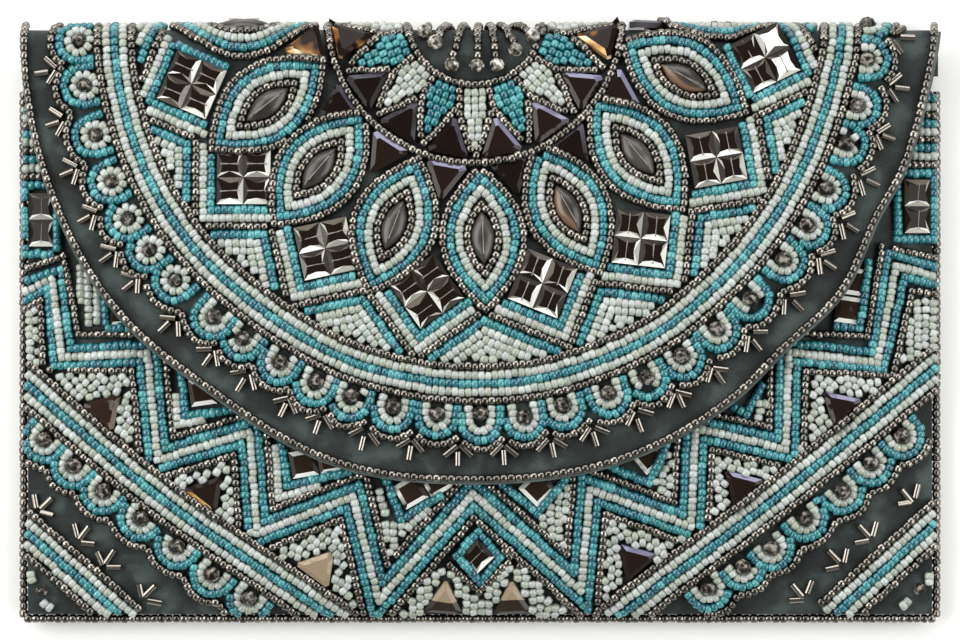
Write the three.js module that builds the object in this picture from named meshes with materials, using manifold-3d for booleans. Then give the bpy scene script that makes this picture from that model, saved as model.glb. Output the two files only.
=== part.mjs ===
// Beaded envelope clutch that lies on its back: a pouch of two sewn cloth panels, a half-round flap
// that folds over from the back, the bead strings of its edges and the cut stones sewn on it.
// Millimetres, +Z up. +Y points to the top fold and +Z to the beaded front.
import * as THREE from "three";
import { mergeVertices } from "three/addons/utils/BufferGeometryUtils.js";
import Module from "manifold-3d";

const wasm = await Module();
wasm.setup();

// Sizes of the bag
const BAG_WIDTH = 254;
const BAG_HEIGHT = 165.5;
const WALL = 1.6;
const GAP = 0.3;
const EDGE_BEAD = 2.2;
const SEED_BEAD = 2.1;
const EDGE_LIFT = 3;
const EDGE_LIFT_REACH = 22;
const CROWN = 10;
const SIDE_ROUNDING = 3.2;
const STANDOFF = 3;
const MOUTH_Y = 63.8;
const BACK_SEAM_Y = 68;

// Sizes that follow from them
const HALF_WIDTH = BAG_WIDTH / 2 - EDGE_BEAD - GAP;
const BOTTOM_Y = -BAG_HEIGHT / 2 + EDGE_BEAD + GAP;
const FOLD_Y = BAG_HEIGHT / 2 - SEED_BEAD;
const SEAM_Z = EDGE_LIFT + WALL + GAP + WALL;

// The middle of the flap's half circle, in the flat pattern of the cloth
const CENTRE_X = -1.4;
const CENTRE_V = 84;
const FLAP_LIP = 1.2;
const FLAP_TIP_HALF_WIDTH = 6;

// Share of the crown at a distance up the bag
const FULLNESS = [
  { y: -80.25, share: 0 },
  { y: -76, share: 0.27 },
  { y: -69, share: 0.5 },
  { y: -57, share: 0.74 },
  { y: -40, share: 0.92 },
  { y: -12, share: 1 },
  { y: 18, share: 0.95 },
  { y: 45, share: 0.74 },
  { y: 62, share: 0.56 },
  { y: 72, share: 0.5 },
  { y: 84, share: 0.5 },
];

// Radius of the bead line along the flap's edge, by angle clockwise from +X
const FLAP_EDGE = [
  { angle: 0, radius: 127.0 },
  { angle: 10, radius: 125.2 },
  { angle: 20, radius: 124.4 },
  { angle: 27, radius: 122.9 },
  { angle: 37, radius: 125.4 },
  { angle: 47, radius: 124.0 },
  { angle: 56, radius: 126.0 },
  { angle: 72, radius: 127.6 },
  { angle: 90, radius: 126.8 },
  { angle: 107, radius: 127.8 },
  { angle: 125, radius: 125.2 },
  { angle: 140, radius: 126.8 },
  { angle: 155, radius: 126.0 },
  { angle: 168, radius: 125.0 },
  { angle: 180, radius: 124.0 },
];

// Where the grids of the cloth have their lines
const PANEL_COLUMNS = [0, 30, 58, 82, 100, 112, 119, HALF_WIDTH];
const FRONT_ROWS = [BOTTOM_Y, -78, -75, -69, -58, -42, -20, 5, 28, 48, MOUTH_Y];
const BACK_ROWS = [BOTTOM_Y, -76, -71, -65, -58, -20, 20, BACK_SEAM_Y - GAP];
const FLAP_DROPS = [0, 2, 4, 6, 8, 10, 12, 16, 24, 34, 46, 59, 73, 87, 99, 109, 117, 122.5];
const FLAP_BACK_SHARES = [1, 0.82, 0.68, 0.56, 0.46, 0.36, 0.27, 0.18, 0.09];
const FLAP_COLUMNS = 18;

// Stones
const SEAT = 0.35;
const SQUARE = { side: 7.3, corner: 0.6, pitch: 7.4, plate: 0.5 };
const SQUARE_CUT = [
  { scale: 1, z: 0 },
  { scale: 1, z: 1.7 },
  { scale: 0.68, z: 2.35 },
];
const MARQUISE = { length: 14.6, width: 6.5, steps: 6 };
const MARQUISE_CUT = [
  { scale: 1, z: 0 },
  { scale: 1, z: 0.8 },
  { scale: 0.8, z: 2 },
  { scale: 0.45, z: 2.8 },
];
const TRIANGLE = { base: 12.2, reach: 11.2, corner: 1.2 };
const FRONT_TRIANGLE = { base: 11.2, reach: 10.4, corner: 1.1 };
const TRIANGLE_CUT = [
  { scale: 1, z: 0 },
  { scale: 1, z: 1.5 },
  { scale: 0.66, z: 2.2 },
];
const SNAP = { radius: 7, height: 2.2, sides: 24, y: -26 };

// The sixteen-fold rose on the flap. Its inner triangles are regular. The other stones were sewn by eye,
// so each has its middle in the flat pattern and the way its outer point or corner turns, clockwise from +X.
const ROSE_STEP = 22.5;
const INNER_TRIANGLES = { radius: 35.3, count: 8, first: 0.5 };
const MARQUISES = [
  { x: 66.0, v: 89.0, turn: 4 },
  { x: 56.0, v: 67.1, turn: 29.6 },
  { x: 43.1, v: 45.9, turn: 50.7 },
  { x: 24.1, v: 30.9, turn: 63.2 },
  { x: 0.8, v: 22.9, turn: 87.3 },
  { x: -23.5, v: 26.5, turn: 110.2 },
  { x: -44.1, v: 42.0, turn: 128.8 },
  { x: -58.3, v: 59.6, turn: 141.5 },
  { x: -65.1, v: 84.2, turn: 178 },
];
const QUADS = [
  { x: 78.2, v: 72.6, turn: 19 },
  { x: 64.7, v: 45.0, turn: 35 },
  { x: 44.0, v: 22.7, turn: 51.5 },
  { x: 17.1, v: 10.5, turn: 67 },
  { x: -14.5, v: 8.3, turn: 99.5 },
  { x: -42.3, v: 20.0, turn: 122.6 },
  { x: -64.7, v: 39.5, turn: 135 },
  { x: -79.1, v: 65.2, turn: 158.3 },
];
const OUTER_TRIANGLES = [
  { x: 44.8, v: 85.4, turn: 0 },
  { x: 38.0, v: 63.0, turn: 33 },
  { x: 25.5, v: 48.5, turn: 53 },
  { x: 8.8, v: 41.2, turn: 77 },
  { x: -9.6, v: 39.8, turn: 100 },
  { x: -26.1, v: 46.4, turn: 123 },
  { x: -38.7, v: 58.8, turn: 146 },
  { x: -47.0, v: 75.4, turn: 168 },
];

// Stones on the front, by the middle of the stone and the way its point turns
const FRONT_TRIANGLES = [
  { x: -103, y: -24.2, turn: 168 },
  { x: -74.9, y: -47, turn: 170 },
  { x: -44.3, y: -67.3, turn: 171 },
  { x: -9.9, y: -76.5, turn: 85 },
  { x: 8.9, y: -76.6, turn: 92 },
  { x: 42.5, y: -65.2, turn: 13 },
  { x: 71.7, y: -45.1, turn: 14 },
  { x: 98.8, y: -23.4, turn: 17 },
];
const FRONT_PAIRS = [
  { name: "left", x: -120.6, y: 28.2, turn: 90 },
  { name: "right", x: 120.3, y: 31.9, turn: 90 },
];
const FRONT_SQUARE = { x: -1.0, y: -64.0, turn: 45 };

// Value of a table with smooth slopes between its rows
function smoothTable(rows, from, to, at) {
  const last = rows.length - 1;
  let low = 0;
  while (low < last - 1 && at > rows[low + 1][from]) low += 1;
  const slope = (index) => {
    const before = rows[Math.max(index - 1, 0)];
    const after = rows[Math.min(index + 1, last)];
    return (after[to] - before[to]) / (after[from] - before[from]);
  };
  const start = rows[low];
  const end = rows[low + 1];
  const span = end[from] - start[from];
  const t = Math.min(Math.max((at - start[from]) / span, 0), 1);
  const t2 = t * t;
  const t3 = t2 * t;
  return (
    (2 * t3 - 3 * t2 + 1) * start[to] +
    (t3 - 2 * t2 + t) * span * slope(low) +
    (3 * t2 - 2 * t3) * end[to] +
    (t3 - t2) * span * slope(low + 1)
  );
}

const radians = (degrees) => (degrees * Math.PI) / 180;
const ramp = (value) => Math.min(Math.max(value, 0), 1) ** 2;

// Height of the back's outer face: flat where it lies, lifted toward the seams
function backHeight(x, y) {
  const side = ramp((Math.abs(x) - HALF_WIDTH + EDGE_LIFT_REACH) / EDGE_LIFT_REACH);
  const bottom = ramp((BOTTOM_Y + EDGE_LIFT_REACH - y) / EDGE_LIFT_REACH);
  return EDGE_LIFT * (1 - (1 - side) * (1 - bottom));
}

// Height of the front's outer face
function frontHeight(x, y) {
  const across = 1 - (Math.abs(x) / HALF_WIDTH) ** SIDE_ROUNDING;
  return SEAM_Z + CROWN * across * smoothTable(FULLNESS, "y", "share", y);
}

// The top fold at a distance across the bag: its two levels, radius and start
function foldAt(x) {
  const top = frontHeight(x, FOLD_Y) + STANDOFF + WALL;
  const low = backHeight(x, FOLD_Y);
  const radius = (top - low) / 2;
  return { low, radius, start: FOLD_Y - radius };
}

// A point of the flap's outer face from its place in the flat pattern
function flapPoint(x, v) {
  const fold = foldAt(x);
  if (v <= fold.start) return new THREE.Vector3(x, v, frontHeight(x, v) + STANDOFF + WALL);
  const angle = (v - fold.start) / fold.radius;
  if (angle <= Math.PI) {
    const y = fold.start + fold.radius * Math.sin(angle);
    return new THREE.Vector3(x, y, fold.low + fold.radius * (1 + Math.cos(angle)));
  }
  const back = fold.start - (v - fold.start - Math.PI * fold.radius);
  return new THREE.Vector3(x, back, backHeight(x, back));
}

const frontPoint = (x, y) => new THREE.Vector3(x, y, frontHeight(x, y));

// Axes of a face at a place: across, up the pattern, and out of the cloth
function axesAt(pointOf, x, v) {
  const step = 0.5;
  const across = pointOf(x + step, v).sub(pointOf(x - step, v)).normalize();
  const along = pointOf(x, v + step).sub(pointOf(x, v - step));
  const out = new THREE.Vector3().crossVectors(across, along).normalize();
  return { across, along: new THREE.Vector3().crossVectors(out, across), out };
}

// A closed wall between two grids of points that have the same rows and columns
function wallBetween(outer, inner) {
  const rows = outer.length;
  const columns = outer[0].length;
  const positions = [];
  for (const grid of [outer, inner]) {
    for (const row of grid) {
      for (const point of row) positions.push(point.x, point.y, point.z);
    }
  }
  const top = (row, column) => row * columns + column;
  const under = (row, column) => rows * columns + row * columns + column;
  const faces = [];
  const quad = (a, b, c, d) => faces.push(a, b, c, a, c, d);
  for (let row = 0; row < rows - 1; row += 1) {
    for (let column = 0; column < columns - 1; column += 1) {
      quad(top(row, column), top(row, column + 1), top(row + 1, column + 1), top(row + 1, column));
      quad(under(row, column), under(row + 1, column), under(row + 1, column + 1), under(row, column + 1));
    }
    const end = columns - 1;
    quad(top(row, 0), top(row + 1, 0), under(row + 1, 0), under(row, 0));
    quad(top(row, end), under(row, end), under(row + 1, end), top(row + 1, end));
  }
  for (let column = 0; column < columns - 1; column += 1) {
    const end = rows - 1;
    quad(top(0, column), under(0, column), under(0, column + 1), top(0, column + 1));
    quad(top(end, column), top(end, column + 1), under(end, column + 1), under(end, column));
  }
  const geometry = new THREE.BufferGeometry();
  geometry.setAttribute("position", new THREE.Float32BufferAttribute(positions, 3));
  geometry.setIndex(faces);
  return geometry;
}

// The two panels of the pouch
const bothSides = [...PANEL_COLUMNS.slice(1).map((x) => -x).reverse(), ...PANEL_COLUMNS];

function panel(rows, heightOf, shift) {
  const grid = (drop) =>
    rows.map((y) => bothSides.map((x) => new THREE.Vector3(x, y, heightOf(x, y) + drop)));
  return shift > 0 ? wallBetween(grid(shift), grid(0)) : wallBetween(grid(0), grid(shift));
}

// The flap: rows up the back and round the fold, then rows of the half circle
function flapEdge(angle, lip) {
  const radius = smoothTable(FLAP_EDGE, "angle", "radius", angle) + lip;
  const reach = radians(angle);
  return { x: CENTRE_X + radius * Math.cos(reach), v: CENTRE_V - radius * Math.sin(reach) };
}

function flapRows() {
  const rows = [];
  const across = (left, right) => {
    const row = [];
    for (let column = 0; column <= FLAP_COLUMNS; column += 1) {
      const share = 0.5 - 0.5 * Math.cos((Math.PI * column) / FLAP_COLUMNS);
      const even = column / FLAP_COLUMNS;
      const t = 0.6 * share + 0.4 * even;
      row.push({ x: left.x + (right.x - left.x) * t, v: left.v + (right.v - left.v) * t });
    }
    return row;
  };
  const tip = Math.acos(FLAP_TIP_HALF_WIDTH / FLAP_EDGE[8].radius);
  const turns = FLAP_DROPS.map((drop) => Math.asin(drop / FLAP_EDGE[8].radius));
  for (const turn of [tip, ...turns.reverse()]) {
    const angle = (turn * 180) / Math.PI;
    rows.push(across(flapEdge(180 - angle, FLAP_LIP), flapEdge(angle, FLAP_LIP)));
  }
  const middle = rows[rows.length - 1];
  for (const share of [...FLAP_BACK_SHARES].reverse()) {
    rows.push(
      middle.map(({ x, v }) => {
        const fold = foldAt(x);
        const end = fold.start + Math.PI * fold.radius + (fold.start - BACK_SEAM_Y);
        return { x, v: v + (end - v) * share };
      }),
    );
  }
  return rows;
}

function flapCloth() {
  const places = flapRows();
  const outer = places.map((row) => row.map(({ x, v }) => flapPoint(x, v)));
  const inner = places.map((row, index) =>
    row.map(({ x, v }) => {
      const point = flapPoint(x, v).addScaledVector(axesAt(flapPoint, x, v).out, -WALL);
      if (index === places.length - 1) point.y = BACK_SEAM_Y;
      return point;
    }),
  );
  return wallBetween(outer, inner);
}

// A round section carried along points, for a string of beads; ups holds the way out of the cloth
function sweepString(points, ups) {
  const sides = 8;
  const radius = EDGE_BEAD / 2;
  const positions = [];
  const faces = [];
  points.forEach((point, index) => {
    const before = points[Math.max(index - 1, 0)];
    const after = points[Math.min(index + 1, points.length - 1)];
    const into = point.clone().sub(before).normalize();
    const outOf = after.clone().sub(point).normalize();
    const along = into.clone().add(outOf).normalize();
    const mitre = 1 / Math.max(along.dot(index === 0 ? outOf : into), 0.5);
    const across = new THREE.Vector3().crossVectors(along, ups[index]).normalize();
    const up = new THREE.Vector3().crossVectors(across, along);
    for (let side = 0; side < sides; side += 1) {
      const turn = (2 * Math.PI * side) / sides;
      const place = point
        .clone()
        .addScaledVector(across, radius * mitre * Math.cos(turn))
        .addScaledVector(up, radius * Math.sin(turn));
      positions.push(place.x, place.y, place.z);
    }
  });
  const last = (points.length - 1) * sides;
  for (let ring = 0; ring < last; ring += sides) {
    for (let side = 0; side < sides; side += 1) {
      const next = (side + 1) % sides;
      faces.push(ring + side, ring + sides + next, ring + next);
      faces.push(ring + side, ring + sides + side, ring + sides + next);
    }
  }
  for (let side = 1; side < sides - 1; side += 1) {
    faces.push(0, side, side + 1);
    faces.push(last, last + side + 1, last + side);
  }
  const geometry = new THREE.BufferGeometry();
  geometry.setAttribute("position", new THREE.Float32BufferAttribute(positions, 3));
  geometry.setIndex(faces);
  return geometry;
}

function flapEdgeString() {
  const points = [];
  const ups = [];
  const ends = [0.5, 1.2, 1.9, 2.6, 3.3, 4, 5, 6, 8, 10];
  const angles = [...ends];
  for (let angle = 14; angle <= 166; angle += 4) angles.push(angle);
  angles.push(...ends.map((angle) => 180 - angle).reverse());
  for (const angle of angles) {
    const { x, v } = flapEdge(angle, 0);
    const { out } = axesAt(flapPoint, x, v);
    points.push(flapPoint(x, v).addScaledVector(out, EDGE_BEAD / 2 + SEAT));
    ups.push(out);
  }
  return sweepString(points, ups);
}

function pouchEdgeString() {
  const side = BAG_WIDTH / 2 - EDGE_BEAD / 2;
  const bottom = -BAG_HEIGHT / 2 + EDGE_BEAD / 2;
  const level = EDGE_LIFT + WALL + GAP / 2;
  const corner = EDGE_BEAD / 2 + GAP;
  const points = [new THREE.Vector3(-side, MOUTH_Y, level)];
  for (const { middle, first } of [
    { middle: -side + corner, first: 180 },
    { middle: side - corner, first: 270 },
  ]) {
    for (let turn = first; turn <= first + 90; turn += 22.5) {
      const x = middle + corner * Math.cos(radians(turn));
      points.push(new THREE.Vector3(x, bottom + corner + corner * Math.sin(radians(turn)), level));
    }
  }
  points.push(new THREE.Vector3(side, MOUTH_Y, level));
  return sweepString(points, points.map(() => new THREE.Vector3(0, 0, 1)));
}

// A cut stone over a convex outline: the cut lists how far in each level lies, from the back to the table
function cutStone(outline, cut) {
  const count = outline.length;
  const positions = [];
  for (const { scale, z } of cut) {
    for (const [x, y] of outline) positions.push(x * scale, y * scale, z);
  }
  const table = (cut.length - 1) * count;
  const faces = [];
  for (let index = 1; index < count - 1; index += 1) {
    faces.push(0, index + 1, index);
    faces.push(table, table + index, table + index + 1);
  }
  for (let level = 0; level < table; level += count) {
    for (let index = 0; index < count; index += 1) {
      const next = (index + 1) % count;
      faces.push(level + index, level + next, level + count + next);
      faces.push(level + index, level + count + next, level + count + index);
    }
  }
  const geometry = new THREE.BufferGeometry();
  geometry.setAttribute("position", new THREE.Float32BufferAttribute(positions, 3));
  geometry.setIndex(faces);
  return geometry;
}

// A square with its corners cut off
function squareOutline(side, corner) {
  const half = side / 2;
  const cut = half - corner;
  const outline = [];
  for (const [x, y] of [[1, 1], [-1, 1], [-1, -1], [1, -1]]) {
    const pair = [[x * half, y * cut], [x * cut, y * half]];
    outline.push(...(x * y > 0 ? pair : pair.reverse()));
  }
  return outline;
}

// Two arcs that meet in points on the X axis
function lensOutline({ length, width, steps }) {
  const half = length / 2;
  const rise = width / 2;
  const radius = (half * half + rise * rise) / (2 * rise);
  const sweep = Math.asin(half / radius);
  const outline = [];
  for (const flip of [1, -1]) {
    for (let index = 0; index < steps; index += 1) {
      const turn = sweep - (2 * sweep * index) / steps;
      const y = radius * Math.cos(turn) - radius + rise;
      outline.push([flip * radius * Math.sin(turn), flip * y]);
    }
  }
  return outline;
}

// A triangle about its middle, its point toward +X and its three corners cut off
function triangleOutline({ base, reach, corner }) {
  const points = [[(2 * reach) / 3, 0], [-reach / 3, base / 2], [-reach / 3, -base / 2]];
  const outline = [];
  points.forEach((point, index) => {
    for (const other of [points[(index + 2) % 3], points[(index + 1) % 3]]) {
      const length = Math.hypot(other[0] - point[0], other[1] - point[1]);
      const share = corner / length;
      outline.push([point[0] + (other[0] - point[0]) * share, point[1] + (other[1] - point[1]) * share]);
    }
  });
  return outline;
}

// Joins of closed bodies
function solidOf(geometry) {
  const welded = mergeVertices(geometry);
  return new wasm.Manifold(
    new wasm.Mesh({
      numProp: 3,
      vertProperties: Float32Array.from(welded.attributes.position.array),
      triVerts: Uint32Array.from(welded.index.array),
    }),
  );
}

function geometryOf(solid) {
  const mesh = solid.getMesh();
  const geometry = new THREE.BufferGeometry();
  const points = [];
  for (let index = 0; index < mesh.vertProperties.length; index += mesh.numProp) {
    points.push(...mesh.vertProperties.slice(index, index + 3));
  }
  geometry.setAttribute("position", new THREE.Float32BufferAttribute(points, 3));
  geometry.setIndex([...mesh.triVerts]);
  return geometry;
}

// A block of square stones on one thin plate
function squareBlock(across, up) {
  const plateX = (across - 1) * SQUARE.pitch + SQUARE.side * 0.9;
  const plateY = (up - 1) * SQUARE.pitch + SQUARE.side * 0.9;
  const plate = new THREE.BoxGeometry(plateX, plateY, SQUARE.plate);
  plate.translate(0, 0, SQUARE.plate / 2);
  plate.deleteAttribute("normal");
  plate.deleteAttribute("uv");
  let block = solidOf(plate);
  for (let column = 0; column < across; column += 1) {
    for (let row = 0; row < up; row += 1) {
      const stone = cutStone(squareOutline(SQUARE.side, SQUARE.corner), SQUARE_CUT);
      const x = (column - (across - 1) / 2) * SQUARE.pitch;
      const y = (row - (up - 1) / 2) * SQUARE.pitch;
      stone.translate(x, y, 0);
      block = block.add(solidOf(stone));
    }
  }
  return geometryOf(block);
}

// Materials
const material = (name, color, roughness, metalness) => {
  const made = new THREE.MeshStandardMaterial({ color, roughness, metalness });
  made.name = name;
  return made;
};
const velvet = material("velvet", "#3b4345", 0.9, 0);
const gunmetal = material("gunmetal", "#57504b", 0.3, 0.9);
const mirrorGlass = material("mirror_glass", "#4a403b", 0.12, 0.8);
const blackGlass = material("black_glass", "#2a2322", 0.1, 0.1);
const greyGlass = material("grey_glass", "#7d7f80", 0.15, 0.1);
const brownGlass = material("brown_glass", "#6e5541", 0.12, 0.2);
const plate = material("plated_metal", "#9a9894", 0.35, 0.9);

// The assembly
const clutch = new THREE.Group();

function add(name, geometry, made) {
  const mesh = new THREE.Mesh(geometry, made);
  mesh.name = name;
  clutch.add(mesh);
  return mesh;
}

// A stone seated on a face, turned in the plane of the cloth
function seat(name, geometry, made, pointOf, x, v, turn) {
  const mesh = add(name, geometry, made);
  const { across, along, out } = axesAt(pointOf, x, v);
  const place = pointOf(x, v).addScaledVector(out, SEAT);
  mesh.matrixAutoUpdate = false;
  mesh.matrix
    .makeBasis(across, along, out)
    .setPosition(place)
    .multiply(new THREE.Matrix4().makeRotationZ(radians(turn)));
  mesh.matrix.decompose(mesh.position, mesh.quaternion, mesh.scale);
}

add("front_panel", panel(FRONT_ROWS, frontHeight, -WALL), velvet);
add("back_panel", panel(BACK_ROWS, backHeight, WALL), velvet);
add("flap", flapCloth(), velvet);
add("flap_edge_beads", flapEdgeString(), gunmetal);
add("pouch_edge_beads", pouchEdgeString(), gunmetal);

const snap = new THREE.CylinderGeometry(SNAP.radius, SNAP.radius, SNAP.height, SNAP.sides);
snap.rotateX(Math.PI / 2);
snap.translate(0, 0, SNAP.height / 2 + 0.05);
seat("magnetic_snap", snap, plate, frontPoint, 0, SNAP.y, 0);

MARQUISES.forEach(({ x, v, turn }, index) => {
  const stone = cutStone(lensOutline(MARQUISE), MARQUISE_CUT);
  seat(`marquise_${index + 1}`, stone, greyGlass, flapPoint, x, v, -turn);
});
QUADS.forEach(({ x, v, turn }, index) => {
  seat(`square_quad_${index + 1}`, squareBlock(2, 2), mirrorGlass, flapPoint, x, v, 45 - turn);
});
for (let index = 0; index < INNER_TRIANGLES.count; index += 1) {
  const angle = (INNER_TRIANGLES.first + index) * ROSE_STEP;
  const x = CENTRE_X + INNER_TRIANGLES.radius * Math.cos(radians(angle));
  const v = CENTRE_V - INNER_TRIANGLES.radius * Math.sin(radians(angle));
  const stone = cutStone(triangleOutline(TRIANGLE), TRIANGLE_CUT);
  seat(`inner_triangle_${index + 1}`, stone, blackGlass, flapPoint, x, v, 180 - angle);
}
OUTER_TRIANGLES.forEach(({ x, v, turn }, index) => {
  const stone = cutStone(triangleOutline(TRIANGLE), TRIANGLE_CUT);
  seat(`outer_triangle_${index + 1}`, stone, blackGlass, flapPoint, x, v, -turn);
});
FRONT_TRIANGLES.forEach(({ x, y, turn }, index) => {
  const stone = cutStone(triangleOutline(FRONT_TRIANGLE), TRIANGLE_CUT);
  seat(`front_triangle_${index + 1}`, stone, brownGlass, frontPoint, x, y, turn);
});
for (const { name, x, y, turn } of FRONT_PAIRS) {
  seat(`front_pair_${name}`, squareBlock(2, 1), mirrorGlass, frontPoint, x, y, turn);
}
const single = cutStone(squareOutline(SQUARE.side, SQUARE.corner), SQUARE_CUT);
seat("front_square", single, mirrorGlass, frontPoint, FRONT_SQUARE.x, FRONT_SQUARE.y, FRONT_SQUARE.turn);

// The origin goes under the middle of the whole, on the surface it lies on
clutch.updateMatrixWorld(true);
const box = new THREE.Box3().setFromObject(clutch, true);
const middle = box.getCenter(new THREE.Vector3());
for (const mesh of clutch.children) {
  mesh.position.sub(new THREE.Vector3(middle.x, middle.y, box.min.z));
  mesh.matrixAutoUpdate = true;
}

export default clutch;
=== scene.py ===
# %% [markdown]
# # A beaded clutch in Blender
#
# This lesson dresses an envelope clutch: dark velvet panels, a half-round flap, and beadwork in a
# sixteen-fold rose. The solids of the bag come from a frame that is already measured. Here the cloth
# gets its nap, and thousands of seed beads are charted flat, laid on the curved cloth, and copied
# there by a small Geometry Nodes tree.

import math

import bpy
import numpy as np
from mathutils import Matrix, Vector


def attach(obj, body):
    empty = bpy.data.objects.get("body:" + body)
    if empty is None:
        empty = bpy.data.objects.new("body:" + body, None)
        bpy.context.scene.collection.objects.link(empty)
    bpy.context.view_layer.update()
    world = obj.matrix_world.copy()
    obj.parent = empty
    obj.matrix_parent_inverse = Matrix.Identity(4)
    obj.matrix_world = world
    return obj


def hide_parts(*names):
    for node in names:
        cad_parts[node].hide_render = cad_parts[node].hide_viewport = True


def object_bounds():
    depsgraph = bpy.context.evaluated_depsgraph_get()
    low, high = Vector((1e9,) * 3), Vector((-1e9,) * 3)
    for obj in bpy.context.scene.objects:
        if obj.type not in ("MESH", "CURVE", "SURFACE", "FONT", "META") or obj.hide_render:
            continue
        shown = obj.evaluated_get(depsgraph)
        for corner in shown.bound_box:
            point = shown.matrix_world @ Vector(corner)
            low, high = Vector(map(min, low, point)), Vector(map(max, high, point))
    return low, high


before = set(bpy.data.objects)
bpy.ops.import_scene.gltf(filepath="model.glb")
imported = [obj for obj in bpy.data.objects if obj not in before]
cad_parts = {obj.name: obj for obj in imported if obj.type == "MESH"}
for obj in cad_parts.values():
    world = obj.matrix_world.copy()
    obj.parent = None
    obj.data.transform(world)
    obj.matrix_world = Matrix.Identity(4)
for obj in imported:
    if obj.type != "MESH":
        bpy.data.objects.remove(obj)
cad_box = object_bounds()
print(f"The frame holds {len(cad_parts)} solids in a box from {cad_box[0]} to {cad_box[1]}")

# %% [markdown]
# ## Sizes
#
# The real bag is a ten-inch clutch sewn with beads about two millimetres wide. The chart could be drawn
# in Blender's metres, but bead sizes and row spacings are known in millimetres on the flat cloth. So
# all sizes are millimetres, and everything is turned to metres once, when it is placed on the bag.

# %% Sizes of the bag, in millimetres
BAG_WIDTH = 254.0
BAG_HEIGHT = 165.5
# Thickness of the cloth, and the play that sewing leaves between two pieces
WALL = 1.6
GAP = 0.3
EDGE_BEAD = 2.2
SEED_BEAD = 2.1
# How high the edges of the back lift, and how far from the edge that starts
EDGE_LIFT = 3.0
EDGE_LIFT_REACH = 22.0
# How far the front bulges, how full it stays toward its sides, and the room under the flap
CROWN = 10.0
SIDE_ROUNDING = 3.2
STANDOFF = 3.0
MOUTH_Y = 63.8
BACK_SEAM_Y = 68.0
HALF_WIDTH = BAG_WIDTH / 2 - EDGE_BEAD - GAP
BOTTOM_Y = -BAG_HEIGHT / 2 + EDGE_BEAD + GAP
FOLD_Y = BAG_HEIGHT / 2 - SEED_BEAD
SEAM_Z = EDGE_LIFT + WALL + GAP + WALL
# Middle of the rose on the flat flap
CENTRE_X = -1.4
CENTRE_V = 84.0
# Cloth of the flap past its edge beads, and the mean radius of that bead line
FLAP_LIP = 1.2
# Height of a stone's back over the cloth
SEAT = 0.35
# How far the front reaches under the edge beads, and how far these beads stand out
RIM_MARGIN = 0.5
EDGE_OUT = 0.4
MM = 0.001

# The frame's origin is under the middle of the whole part, stones included.
SHIFT_Y = cad_box[0][1] / MM + BAG_HEIGHT / 2

# Distance up the bag, share of the crown
FULLNESS = [
    (-80.25, 0.0), (-76.0, 0.27), (-69.0, 0.5), (-57.0, 0.74), (-40.0, 0.92), (-12.0, 1.0),
    (18.0, 0.95), (45.0, 0.74), (62.0, 0.56), (72.0, 0.5), (84.0, 0.5),
]

# Angle clockwise from +X in degrees, radius of the bead line along the flap's edge
FLAP_EDGE = [
    (0, 127.0), (10, 125.2), (20, 124.4), (27, 122.9), (37, 125.4), (47, 124.0), (56, 126.0),
    (72, 127.6), (90, 126.8), (107, 127.8), (125, 125.2), (140, 126.8), (155, 126.0), (168, 125.0),
    (180, 124.0),
]

print(f"A panel is {2 * HALF_WIDTH:.1f} mm wide and reaches from {BOTTOM_Y:.1f} to {FOLD_Y:.1f} mm")

# %% [markdown]
# ## The shape of the cloth
#
# A clutch that is nearly empty bulges like a thin pillow, and its flap lies on the front and turns
# round the top fold. The panels could be sculpted or simulated as cloth, but then no one could say
# where a bead has to sit. So each panel is a function from a flat place to a point in space. Beads,
# stones and cloth all use these functions, and they always meet.


# %% The front and the back
def smooth_table(rows, at):
    """Values between a table's rows, with smooth slopes."""
    xs, ys = np.array(rows, float).T
    slopes = np.empty_like(ys)
    slopes[1:-1] = (ys[2:] - ys[:-2]) / (xs[2:] - xs[:-2])
    slopes[0] = (ys[1] - ys[0]) / (xs[1] - xs[0])
    slopes[-1] = (ys[-1] - ys[-2]) / (xs[-1] - xs[-2])
    low = np.clip(np.searchsorted(xs, at) - 1, 0, len(xs) - 2)
    span = xs[low + 1] - xs[low]
    t = np.clip((at - xs[low]) / span, 0, 1)
    rise = t * t * (3 - 2 * t)
    start = t * (1 - t) ** 2 * span * slopes[low]
    end = t * t * (t - 1) * span * slopes[low + 1]
    return ys[low] * (1 - rise) + ys[low + 1] * rise + start + end


def back_height(x, y):
    """Height of the back's outer face."""
    side = np.clip((np.abs(x) - HALF_WIDTH + EDGE_LIFT_REACH) / EDGE_LIFT_REACH, 0, 1) ** 2
    bottom = np.clip((BOTTOM_Y + EDGE_LIFT_REACH - y) / EDGE_LIFT_REACH, 0, 1) ** 2
    return EDGE_LIFT * (1 - (1 - side) * (1 - bottom))


def front_height(x, y):
    """Height of the front's outer face."""
    across = 1 - (np.abs(x) / HALF_WIDTH) ** SIDE_ROUNDING
    return SEAM_Z + CROWN * across * smooth_table(FULLNESS, y)


def front_point(x, v):
    x, v = np.broadcast_arrays(np.asarray(x, float), np.asarray(v, float))
    return np.stack([x, v, front_height(x, v)], axis=-1)


print(f"The front rises from {SEAM_Z:.1f} mm at the seam to {float(front_height(0.0, 0.0)):.1f} mm")


# %% The flap round the fold
def fold_at(x):
    """The top fold across the bag: its lower level, radius and start."""
    top = front_height(x, FOLD_Y) + STANDOFF + WALL
    low = back_height(x, FOLD_Y)
    radius = (top - low) / 2
    return low, radius, FOLD_Y - radius


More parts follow.
